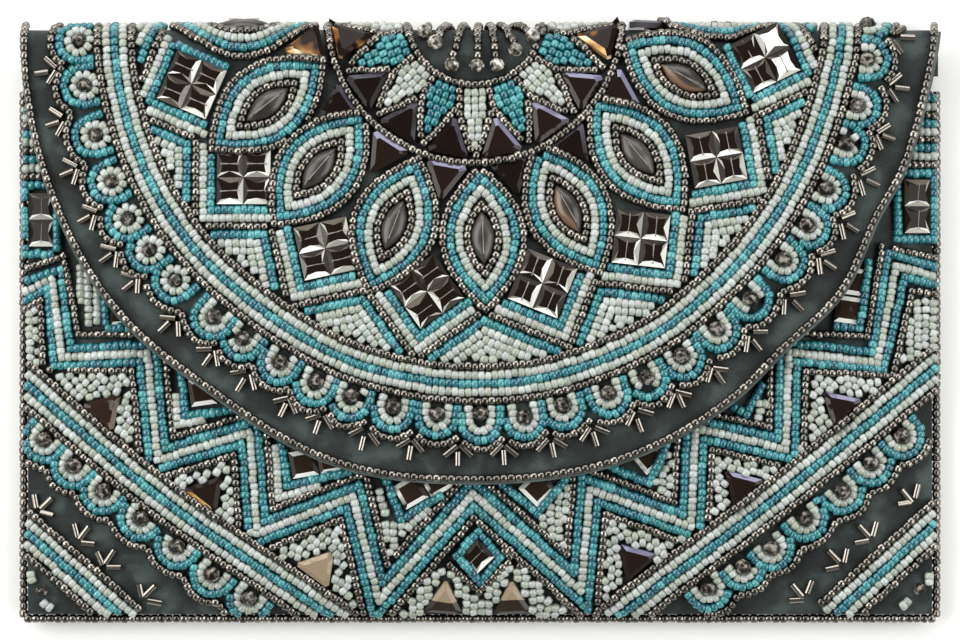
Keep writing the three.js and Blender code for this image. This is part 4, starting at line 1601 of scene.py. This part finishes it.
def sewing_tree():
    tree = bpy.data.node_groups.new("sew_beads", "GeometryNodeTree")
    for name, kind in SEWING_INPUTS.items():
        tree.interface.new_socket(name, in_out="INPUT", socket_type=f"NodeSocket{kind}")
    tree.interface.new_socket("Beads", in_out="OUTPUT", socket_type="NodeSocketGeometry")
    given = add_node(tree, "NodeGroupInput").outputs

    def own(name):
        """A vector that each point carries."""
        kind = "GeometryNodeInputNamedAttribute"
        return add_node(tree, kind, {"Name": name}, data_type="FLOAT_VECTOR").outputs["Attribute"]

    def work_out(first, operation, second):
        return add_node(tree, "ShaderNodeMath", {0: first, 1: second}, operation=operation).outputs[0]

    def chance(low, high, seed_step):
        """A vector between two numbers, different for each point."""
        sockets = {0: low, 1: high, "Seed": work_out(given["Seed"], "ADD", seed_step)}
        return add_node(tree, "FunctionNodeRandomValue", sockets, data_type="FLOAT_VECTOR").outputs[0]

    axes = {"Primary Axis": own("along"), "Secondary Axis": own("out")}
    turned = add_node(tree, "FunctionNodeAxesToRotation", axes, primary_axis="X", secondary_axis="Z")
    tilt = chance(work_out(given["Tilt"], "MULTIPLY", -1.0), given["Tilt"], 0.0)
    tilt_turn = add_node(tree, "FunctionNodeEulerToRotation", {"Euler": tilt})
    turns = {"Rotation": turned.outputs[0], "Rotate By": tilt_turn.outputs[0]}
    whole_turn = add_node(tree, "FunctionNodeRotateRotation", turns, rotation_space="LOCAL")
    least = work_out(1.0, "SUBTRACT", given["Size Spread"])
    most = work_out(1.0, "ADD", given["Size Spread"])
    sizes = {0: chance(least, most, 1.0), 1: own("size")}
    whole_size = add_node(tree, "ShaderNodeVectorMath", sizes, operation="MULTIPLY")
    bead = add_node(tree, "GeometryNodeObjectInfo", {"Object": given["Bead"]})
    copy_sockets = {
        "Points": given["Places"], "Instance": bead.outputs["Geometry"],
        "Rotation": whole_turn.outputs[0], "Scale": whole_size.outputs[0],
    }
    copies = add_node(tree, "GeometryNodeInstanceOnPoints", copy_sockets)
    # The limits of a random vector are sockets 0 and 1, and those of a random number are 2 and 3
    tone_sockets = {2: 0.0, 3: 1.0, "Seed": work_out(given["Seed"], "ADD", 2.0)}
    tone = add_node(tree, "FunctionNodeRandomValue", tone_sockets, data_type="FLOAT")
    stored = {"Geometry": copies.outputs[0], "Name": "tone", "Value": tone.outputs[1]}
    toned = add_node(
        tree, "GeometryNodeStoreNamedAttribute", stored, data_type="FLOAT", domain="INSTANCE"
    )
    real = add_node(tree, "GeometryNodeRealizeInstances", {"Geometry": toned.outputs[0]})
    paint_sockets = {"Geometry": real.outputs[0], "Material": given["Material"]}
    painted = add_node(tree, "GeometryNodeSetMaterial", paint_sockets)
    add_node(tree, "NodeGroupOutput", {"Beads": painted.outputs[0]})
    return tree


SEWING = sewing_tree()
print("The sewing tree has", len(SEWING.nodes), "nodes")


# %% Sewing
def sew(name, bead, points, along, out, material, slot, seed, spread=0.09, tilt=0.16, size=None):
    """Copies of a bead on points of the cloth, as one plain mesh. Each copy's size differs by a share
    up to the spread, and its way by an angle up to the tilt."""
    made = new_object(name, points, [], material)
    size = np.ones((len(points), 3)) if size is None else size
    for key, values in (("along", along), ("out", out), ("size", size)):
        attribute = made.data.attributes.new(key, "FLOAT_VECTOR", "POINT")
        attribute.data.foreach_set("vector", np.asarray(values, np.float32).ravel())
    modifier = made.modifiers.new("sew", "NODES")
    modifier.node_group = SEWING
    values = {"Bead": bead, "Size Spread": spread, "Tilt": tilt, "Seed": seed, "Material": material}
    for socket in SEWING.interface.items_tree:
        if socket.name in values:
            modifier[socket.identifier] = values[socket.name]
    graph = bpy.context.evaluated_depsgraph_get()
    mesh = bpy.data.meshes.new_from_object(made.evaluated_get(graph), depsgraph=graph)
    made.modifiers.clear()
    made.data = mesh
    mesh.name = name
    belongs(made, slot)
    print(f"{name}: {len(points)} copies, {len(mesh.polygons)} faces")
    return made


# %% [markdown]
# ## Bead shapes
#
# A seed bead is a slice of tube with its ends melted round, a bugle is a cut tube and a crystal is a
# faceted ball. All are turned about the axis of the hole. A sphere would be quicker to add, but rows of
# seed beads look like corn, not like pearls, because each bead is as long as it is wide. Ten sides are
# enough at this size.


# %% Prisms and turned shapes
# Turns beyond this many degrees are edges of a bead
BEAD_TURN = 60


def prism(outline, levels):
    """Points and faces of a convex outline carried up through (scale, height) levels."""
    middle = outline.mean(axis=0)
    count = len(outline)
    points = [(*(middle + (corner - middle) * scale), z) for scale, z in levels for corner in outline]
    faces = [tuple(reversed(range(count)))]
    for level in range(0, len(points) - count, count):
        for index in range(count):
            after = (index + 1) % count
            faces.append((level + index, level + after, level + after + count, level + index + count))
    faces.append(tuple(range(len(points) - count, len(points))))
    return np.array(points), faces


def turned_shape(name, profile, sides, smooth=True):
    """A shape turned about X from (along, radius) rows in millimetres, with closed ends."""
    turn = 2 * np.pi * np.arange(sides) / sides
    circle = np.stack([np.cos(turn), np.sin(turn)], axis=1)
    points, faces = prism(circle, [(radius, along) for along, radius in profile])
    mesh = bpy.data.meshes.new(name)
    mesh.from_pydata((points[:, [2, 0, 1]] * MM).tolist(), [], faces)
    mesh.polygons.foreach_set("use_smooth", [smooth] * len(mesh.polygons))
    mesh.set_sharp_from_angle(angle=math.radians(BEAD_TURN))
    made = bpy.data.objects.new(name, mesh)
    bpy.context.scene.collection.objects.link(made)
    return made


print("Faces of a prism on a square:", len(prism(rectangle(1, 1), [(1, 0), (1, 1)])[1]))

# %% Bead shapes
BEAD_SIDES = 10
# Radius at the ends of a seed bead, as a share of its radius
BEAD_END = 0.72


def seed_bead(name, diameter, length, straight_share):
    """A seed bead: a short tube with rounded ends."""
    half = length / 2
    radius = diameter / 2
    straight = half * straight_share
    end = radius * BEAD_END
    profile = [(-half, end), (-straight, radius), (straight, radius), (half, end)]
    return turned_shape(name, profile, BEAD_SIDES)


# Diameter, length and the share of it that is straight
SHAPES = {
    "white": seed_bead("white_shape", 2.5, 1.88, 0.62),
    "turquoise": seed_bead("turquoise_shape", 2.5, 1.88, 0.64),
    "gunmetal": seed_bead("gunmetal_shape", 2.4, 1.92, 0.62),
}
BUGLE_RADIUS = 0.95
THREAD_RADIUS = 0.1
# A bugle and a thread are two long and a crystal is two wide, and each copy is scaled to its own size
BUGLE_PROFILE = [(-1.0, BUGLE_RADIUS), (1.0, BUGLE_RADIUS)]
THREAD_PROFILE = [(-1.0, THREAD_RADIUS), (1.0, THREAD_RADIUS)]
CRYSTAL_PROFILE = [(-0.85, 0.35), (-0.5, 0.82), (0.0, 1.0), (0.5, 0.82), (0.85, 0.35)]
BUGLE_SHAPE = turned_shape("bugle_shape", BUGLE_PROFILE, sides=8, smooth=False)
CRYSTAL_SHAPE = turned_shape("crystal_shape", CRYSTAL_PROFILE, sides=9, smooth=False)
THREAD_SHAPE = turned_shape("thread_shape", THREAD_PROFILE, sides=5)
print("Points of a bead:", {name: len(made.data.vertices) for name, made in SHAPES.items()})

# %% [markdown]
# ## Sewing the chart on
#
# Now the flat places become points on the curved cloth, half a bead's width above it, and the tree puts
# the beads there. Each colour of a panel is one piece, so it can be hidden or recoloured by itself.


# %% Seed beads on the cloth
def sew_seed_beads():
    colours = ("gunmetal", "white", "turquoise")
    pieces = [(panel, colour) for panel in ("flap", "front") for colour in colours]
    for step, (panel, colour) in enumerate(pieces):
        rows = [row[2:] for row in beads if row[0] == panel and row[1] == colour]
        x, v, angle, rise = np.array(rows).T
        point, across, up, out = skin(panel, x, v)
        along = across * np.cos(angle)[:, None] + up * np.sin(angle)[:, None]
        point = point + out * (SEED_BEAD / 2 + rise)[:, None]
        glass = BEAD_MATERIALS[colour]
        slot = f"{colour}_beads"
        sew(f"{panel}_{slot}", SHAPES[colour], point, along, out, glass, slot, seed=10 * step)


sew_seed_beads()

# %% Crystals and bugles on the cloth
# Height of the middle of a crystal, as a share of its radius
CRYSTAL_SINK = 0.75
# How much crystals, and then bugles and threads, differ in size and way
CRYSTAL_CHANCE = {"spread": 0.06, "tilt": 0.3}
LINE_CHANCE = {"spread": 0.05, "tilt": 0.05}


def sew_crystals():
    in_core = [row[3] == CORE_CRYSTAL_RADIUS for row in crystals]
    for name, panel, core, material in (
        ("flap_crystals", "flap", False, CRYSTAL),
        ("core_crystals", "flap", True, CLEAR_CRYSTAL),
        ("front_crystals", "front", False, CRYSTAL),
    ):
        rows = [row[1:] for row, here in zip(crystals, in_core) if row[0] == panel and here == core]
        x, v, radius = np.array(rows).T
        point, across, up, out = skin(panel, x, v)
        point = point + out * radius[:, None] * CRYSTAL_SINK
        size = np.repeat(radius[:, None], 3, axis=1)
        slot = "clear_crystal"
        sew(name, CRYSTAL_SHAPE, point, up, out, material, slot, seed=71, size=size, **CRYSTAL_CHANCE)


def sew_lines(name, shape, panel, ends, height, material, slot):
    """Thin straight pieces between pairs of places, at a height over the cloth."""
    ends = np.array(ends, float)
    middle = ends.mean(axis=1)
    way = ends[:, 1] - ends[:, 0]
    point, across, up, out = skin(panel, middle[:, 0], middle[:, 1])
    along = unit(across * way[:, :1] + up * way[:, 1:])
    point = point + out * np.asarray(height, float).reshape(-1, 1)
    size = np.ones((len(ends), 3))
    size[:, 0] = np.hypot(way[:, 0], way[:, 1]) / 2
    sew(name, shape, point, along, out, material, slot, seed=81, size=size, **LINE_CHANCE)


def sew_bugles():
    for panel in ("flap", "front"):
        ends = [row[1] for row in bugles if row[0] == panel]
        sew_lines(f"{panel}_bugles", BUGLE_SHAPE, panel, ends, BUGLE_RADIUS, BUGLE, "gunmetal_beads")


sew_crystals()
sew_bugles()

# %% [markdown]
# ## The strings along the edges
#
# One string of gunmetal beads follows the round edge of the flap and another one the sides and the
# bottom of the pouch. They hide the seams. A tube would give the outline, but single beads give the
# sparkle, so points an even step apart are taken along each path.


# %% The strings along the edges
# Step between two beads, how far they stand off the cloth, and how much thicker they are than a tube
EDGE_PITCH = 2.05
EDGE_RISE = 0.1
EDGE_SWELL = 0.15
# Degrees that the flap's string leaves free at the fold, and points of the paths
EDGE_END = 0.5
EDGE_POINTS = 360
CORNER_POINTS = 7


def string_points(path, pitch):
    """Evenly spaced points along a path in space, with the way along it."""
    steps = np.linalg.norm(np.diff(path, axis=0), axis=1)
    reach = np.concatenate([[0], np.cumsum(steps)])
    count = round(reach[-1] / pitch)
    at = (np.arange(count) + 0.5) * reach[-1] / count
    points = np.stack([np.interp(at, reach, path[:, axis]) for axis in range(3)], axis=1)
    leg = np.clip(np.searchsorted(reach, at) - 1, 0, len(steps) - 1)
    return points, unit(np.diff(path, axis=0))[leg], at / reach[-1]


def sew_string(name, path, outs, seed, solid):
    """Gunmetal beads along a path in space, in place of a tube."""
    points, along, share = string_points(path, EDGE_PITCH)
    place = np.linspace(0, 1, len(outs))
    out = np.stack([np.interp(share, place, outs[:, axis]) for axis in range(3)], axis=1)
    glass = BEAD_MATERIALS["gunmetal"]
    made = sew(name, SHAPES["edge"], points, along, out, glass, "gunmetal_beads", seed)
    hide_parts(solid)


def flap_edge_path():
    angles = np.linspace(EDGE_END, 180 - EDGE_END, EDGE_POINTS)
    x, v = polar(edge_radius(angles), angles).T
    point, across, up, out = skin("flap", x, v)
    return point + out * (EDGE_BEAD / 2 + EDGE_RISE), out


def pouch_edge_path():
    """Down the left side, along the bottom and up the right side, with round corners."""
    side = BAG_WIDTH / 2 - EDGE_BEAD / 2 + EDGE_OUT
    bottom = -BAG_HEIGHT / 2 + EDGE_BEAD / 2 - EDGE_OUT
    corner = EDGE_BEAD / 2 + GAP
    path = [(-side, MOUTH_Y)]
    for middle, first in ((-side + corner, 180), (side - corner, 270)):
        for turn in np.radians(np.linspace(first, first + 90, CORNER_POINTS)):
            path.append((middle + corner * math.cos(turn), bottom + corner + corner * math.sin(turn)))
    path.append((side, MOUTH_Y))
    level = EDGE_LIFT + WALL + GAP / 2
    return np.array([(x, y, level) for x, y in path]), np.array([(0.0, 0.0, 1.0)] * 2)


SHAPES["edge"] = seed_bead("edge_shape", EDGE_BEAD + EDGE_SWELL, EDGE_PITCH, 0.62)
sew_string("flap_edge_string", *flap_edge_path(), seed=91, solid="flap_edge_beads")
sew_string("pouch_edge_string", *pouch_edge_path(), seed=95, solid="pouch_edge_beads")
print("Shapes used so far:", ", ".join(SHAPES))

# %% [markdown]
# ## Stones
#
# The triangles keep the measured solids and get new materials. The marquises are smooth domes, so they
# are made here as rings that shrink toward the top; subdividing the faceted solid would round its rim
# too. A thread shows over every sewn stone as a thin pale line.

# %% Domes
MARQUISE_RIM = 0.7
MARQUISE_DOME = 2.0
# Rings of a dome, as degrees up a quarter circle
DOME_RINGS = [15, 32, 48, 62, 75, 85]


def on_plane(rows, panel, x, v, degrees):
    """Points from (ahead, aside, height) rows on the plane that touches the cloth at a place."""
    point, across, up, out = skin(panel, np.array(x), np.array(v))
    turn = math.radians(degrees)
    ahead = across * math.cos(turn) + up * math.sin(turn)
    aside = up * math.cos(turn) - across * math.sin(turn)
    return point + np.asarray(rows) @ np.array([ahead, aside, out])


def make_marquise(name, x, v, degrees, material):
    """A smooth dome over a lens outline, in place of a faceted solid."""
    outline = whole_lens(MARQUISE_LENGTH, MARQUISE_WIDTH, count=17)[:0:-1]
    levels = [(1.0, SEAT), (1.0, SEAT + MARQUISE_RIM)]
    for turn in np.radians(DOME_RINGS):
        levels.append((math.cos(turn), SEAT + MARQUISE_RIM + MARQUISE_DOME * math.sin(turn)))
    rows, faces = prism(outline, levels)
    dome = new_object(f"{name}_cabochon", on_plane(rows, "flap", x, v, degrees), faces, material)
    belongs(dome, "grey_glass", name)


for step, (x, v, turn) in enumerate(MARQUISES, 1):
    glass = PAINTED_GLOW_GREY_GLASS if step in PAINTED_GLOW_DOMES else GREY_GLASS
    make_marquise(f"marquise_{step}", x, v, -turn, glass)
print(len(MARQUISES), "domes made")


# %% [markdown]
# ## Mirror squares
#
# The squares are cut with a flat table and small triangular facets round it, and where four squares
# meet, their facets flash like a star. A bump pattern could hint at that, but facets have sharp edges.
# So each square gets its facets as faces, in the place of the plainer solid, and each facet has its own
# tone, a painted reflection, as no two of them mirror the same part of a room.

# %% One mirror square
SQUARE_GIRDLE = 1.7
SQUARE_TABLE = 2.35
SQUARE_TABLE_SHARE = 0.68
SQUARE_NOTCH = 0.42


def cut_square():
    """Points and faces of one square: back, table, then a wall and three facets on each side. The
    table has a notch in each side, so that the facets face different ways."""
    corners = rectangle(SQUARE_SIDE, SQUARE_SIDE)
    inner = corners * SQUARE_TABLE_SHARE
    middles = (inner + np.roll(inner, -1, axis=0)) / 2
    notches = middles * (1 - SQUARE_NOTCH / np.hypot(*middles.T))[:, None]
    points = [(*place, height) for height in (0.0, SQUARE_GIRDLE) for place in corners]
    for pair in zip(inner, notches):
        points += [(*place, SQUARE_TABLE) for place in pair]
    # Points 0 to 3 are the back and 4 to 7 the girdle; then table corners and notches take turns
    faces = [(3, 2, 1, 0), tuple(range(8, 16))]
    for side in range(4):
        after = (side + 1) % 4
        notch = 9 + 2 * side
        faces += [
            (side, after, 4 + after, 4 + side),
            (4 + side, 4 + after, notch),
            (4 + side, notch, notch - 1),
            (4 + after, 8 + 2 * after, notch),
        ]
    return np.array(points), faces


print("Faces of one square:", len(cut_square()[1]))

# %% Mirror squares on the bag
# Middles of the squares on one side of a block, and of its four squares
SQUARE_STEPS = (-SQUARE_PITCH / 2, SQUARE_PITCH / 2)
BLOCK_PLACES = [(a, b) for a in SQUARE_STEPS for b in SQUARE_STEPS]
# Block from the right, its squares whose tables get a painted reflection of a lamp
BRIGHT_TABLES = {0: (1, 3)}
BRIGHT_TONE = 2.4
TABLE_TONE = 0.5
cutter = np.random.default_rng(9)


def make_squares(node, panel, x, v, turn, places, bright=()):
    """Squares on the plane of one solid, in place of it; some tables get a painted bright reflection."""
    shape, sides = cut_square()
    rows = np.concatenate([shape + [a, b, SEAT] for a, b in places])
    faces = []
    tones = []
    for square in range(len(places)):
        faces += [tuple(len(shape) * square + corner for corner in face) for face in sides]
        tones += [TABLE_TONE, BRIGHT_TONE if square in bright else TABLE_TONE]
        tones += cutter.uniform(0, 1, len(sides) - 2).tolist()
    # The painted flashes follow the cut and not the slope of the cloth
    out = skin(panel, np.array(x), np.array(v))[-1]
    tones = np.array(tones) - out @ np.array(MIRROR_FLASH) / MIRROR_UNEVEN
    made = new_object(f"{node}_cut", on_plane(rows, panel, x, v, turn), faces, MIRROR, smooth=False)
    made.data.attributes.new("tone", "FLOAT", "FACE").data.foreach_set("value", tones)
    belongs(made, "mirror_glass", node)


def make_all_squares():
    for index, (x, v, turn) in enumerate(QUADS):
        bright = BRIGHT_TABLES.get(index, ())
        make_squares(f"square_quad_{index + 1}", "flap", x, v, -45 - turn, BLOCK_PLACES, bright)
    for name, (x, v) in zip(("left", "right"), FRONT_PAIRS):
        make_squares(f"front_pair_{name}", "front", x, v, 0, [(0, b) for b in SQUARE_STEPS])
    make_squares("front_square", "front", *FRONT_SQUARE, 45, [(0, 0)])


make_all_squares()
print(len(QUADS) + len(FRONT_PAIRS) + 1, "pieces of mirror squares made")


# %% Glass for the solids
def paint(node, material):
    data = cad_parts[node].data
    data.materials.clear()
    data.materials.append(material)


def paint_stones():
    for step, front_glass in enumerate(FRONT_GLASS, 1):
        paint(f"inner_triangle_{step}", INNER_GLASS.get(step, BLACK_GLASS))
        paint(f"outer_triangle_{step}", OUTER_GLASS.get(step, BLACK_GLASS))
        paint(f"front_triangle_{step}", front_glass)
    paint("magnetic_snap", PLATED)


paint_stones()
print(3 * len(FRONT_GLASS), "triangles and the snap painted")

# %% Threads over the stones
THREAD_IN_SQUARE = 5.4
THREAD_IN_MARQUISE = 8.6
# How far the ends of each thread lie aside of the middle of its stone
THREAD_LEANS = [(0.15, -0.05), (-0.1, 0.2)]
PAIR_LEAN = (0.0, -0.3)
FRONT_SQUARE_LEAN = (0.1, -0.1)


def add_thread(panel, place, length, lean, height, a=0.0, b=0.0):
    """One thread over a stone, along the outward way of its motif."""
    line = place([(a - length / 2, b + lean[0]), (a + length / 2, b + lean[1])])
    threads.append((panel, line, SEAT + height))


def thread_stones():
    """Two threads along each dome and across each square of a block, one across the other squares."""
    for x, v, turn in MARQUISES:
        place = at_place(x, v, -turn)
        for lean in THREAD_LEANS:
            add_thread("flap", place, THREAD_IN_MARQUISE, lean, MARQUISE_RIM + MARQUISE_DOME)
    for x, v, turn in QUADS:
        place = at_place(x, v, -45 - turn)
        for a, b in BLOCK_PLACES:
            for lean in THREAD_LEANS:
                add_thread("flap", place, THREAD_IN_SQUARE, lean, SQUARE_TABLE, a, b)
    for x, v in FRONT_PAIRS:
        for a in SQUARE_STEPS:
            add_thread("front", at_place(x, v, 90), THREAD_IN_SQUARE, PAIR_LEAN, SQUARE_TABLE, a)
    place = at_place(*FRONT_SQUARE, 45)
    add_thread("front", place, THREAD_IN_SQUARE, FRONT_SQUARE_LEAN, SQUARE_TABLE)


def sew_threads():
    for panel in ("flap", "front"):
        lines, heights = zip(*(row[1:] for row in threads if row[0] == panel))
        sew_lines(f"{panel}_threads", THREAD_SHAPE, panel, lines, heights, THREAD, "clear_crystal")


thread_stones()
sew_threads()

# %% [markdown]
# ## Stones that are half hidden
#
# The edge of the flap covers half of some squares, and two dark corners show past the fold. Too little
# of them shows to measure whole stones, so they are plain: a square with a table and four slopes, and a
# flat prism for each corner.

# %% Hidden squares and dark corners
# Corners of a dark stone as seen from above
FOLD_STONES = [
    [(-41.6, 83.8), (-42.2, 79.8), (-35.0, 79.8)],
    [(37.9, 84.3), (33.6, 79.8), (40.0, 79.8)],
]
FOLD_STONE_LEVELS = [(1, 6.4), (1, 9.2)]
# Back, girdle and table of a hidden square: scale, height over the cloth
HIDDEN_SQUARE_LEVELS = [(1, 0.05), (1, 1.5), (0.68, 2.1)]


def make_small_stones():
    rows, sides = prism(rectangle(SQUARE_SIDE, SQUARE_SIDE), HIDDEN_SQUARE_LEVELS)
    points = np.concatenate([on_plane(rows, "front", *place) for place in HIDDEN_SQUARES])
    starts = range(0, len(points), len(rows))
    faces = [tuple(start + corner for corner in face) for start in starts for face in sides]
    squares = new_object("hidden_squares", points, faces, LOW_MIRROR, smooth=False)
    belongs(squares, "mirror_glass")
    for name, outline in zip(("left", "right"), FOLD_STONES):
        points, faces = prism(np.array(outline), FOLD_STONE_LEVELS)
        stone = new_object(f"fold_stone_{name}", points, faces, BLACK_GLASS, smooth=False)
        belongs(stone, "black_glass")


make_small_stones()
print(len(HIDDEN_SQUARES), "squares and", len(FOLD_STONES), "corners made")

# %% [markdown]
# ## Floor, light and camera
#
# The bag lies on a pale floor and the camera looks straight down with a long lens, as the photograph
# does. A picture of a studio could light it, but a ramp is enough: the sky is bright near the horizon
# and dark overhead, so flat stone tables look dark and slanted facets flash. Three soft boxes give the
# beads their highlights.


# %% Floor and sky
FLOOR_SIDE = 6000.0
# A little under the bag, so that floor and back do not share a plane
FLOOR_LEVEL = -0.4
# Where the sky starts and ends to dim toward the top of the picture, and its strength there
SKY_FADE = {"From Min": -0.7, "From Max": 0.6, "To Min": 1.3, "To Max": 0.55}


def make_floor():
    mesh = bpy.data.meshes.new("floor")
    corners = [(*corner, FLOOR_LEVEL * MM) for corner in rectangle(FLOOR_SIDE, FLOOR_SIDE) * MM]
    mesh.from_pydata(corners, [], [(0, 1, 2, 3)])
    mesh.materials.append(new_material("pale_floor", "#f4f4f2", roughness=0.8)[0])
    floor = bpy.data.objects.new("floor", mesh)
    bpy.context.scene.collection.objects.link(floor)


def make_sky():
    """A brown dark overhead and a bright horizon, brightest toward the bottom of the picture."""
    world = bpy.data.worlds.new("studio")
    bpy.context.scene.world = world
    world.use_nodes = True
    tree = world.node_tree
    way = add_node(tree, "ShaderNodeTexCoord").outputs["Generated"]
    parts = add_node(tree, "ShaderNodeSeparateXYZ", {"Vector": way}).outputs
    stops = [(0.0, "#a6a8a3"), (0.5, "#8c8e88"), (0.75, "#67645e"), (0.88, "#564e47"), (1.0, "#4e4640")]
    color = color_ramp(tree, parts["Z"], stops)
    side = add_node(tree, "ShaderNodeMapRange", {"Value": parts["Y"], **SKY_FADE})
    background = tree.nodes["Background"]
    tree.links.new(color, background.inputs["Color"])
    tree.links.new(side.outputs["Result"], background.inputs["Strength"])


make_floor()
make_sky()
print("The sky is brightest at the horizon, toward the bottom of the picture")


# %% Lights
def add_light(name, place, size, energy):
    data = bpy.data.lights.new(name, "AREA")
    data.shape = "RECTANGLE"
    data.size, data.size_y = size
    data.energy = energy
    light = bpy.data.objects.new(name, data)
    light.location = place
    aim = -light.location
    light.rotation_euler = aim.to_track_quat("-Z", "Y").to_euler()
    bpy.context.scene.collection.objects.link(light)


add_light("left_box", (-0.9, 0.15, 0.75), (1.2, 0.9), 15.0)
add_light("right_box", (0.9, -0.1, 0.75), (1.2, 0.9), 12.0)
add_light("top_box", (0.0, 1.05, 0.7), (1.5, 0.8), 14.0)
print("Lights:", [light.name for light in bpy.data.lights])

# %% Camera
# What the picture spans at the height of the beads, and the place it is centred on
PICTURE_WIDTH = 263.9
AIM_HEIGHT = 15.0
AIM_Y = 0.55


def make_camera():
    data = bpy.data.cameras.new("camera")
    data.lens = 200.0
    data.sensor_width = 36.0
    data.clip_end = 20.0
    camera = bpy.data.objects.new("camera", data)
    distance = PICTURE_WIDTH * data.lens / data.sensor_width
    camera.location = tuple(np.array((0, AIM_Y + SHIFT_Y, AIM_HEIGHT + distance)) * MM)
    bpy.context.scene.collection.objects.link(camera)
    bpy.context.scene.camera = camera


make_camera()
bpy.context.scene.view_settings.view_transform = "Standard"
print(f"The camera is {bpy.context.scene.camera.location.z:.2f} m up")

# %% Leave no shapes behind
for shape in [*SHAPES.values(), BUGLE_SHAPE, CRYSTAL_SHAPE, THREAD_SHAPE]:
    bpy.data.objects.remove(shape)
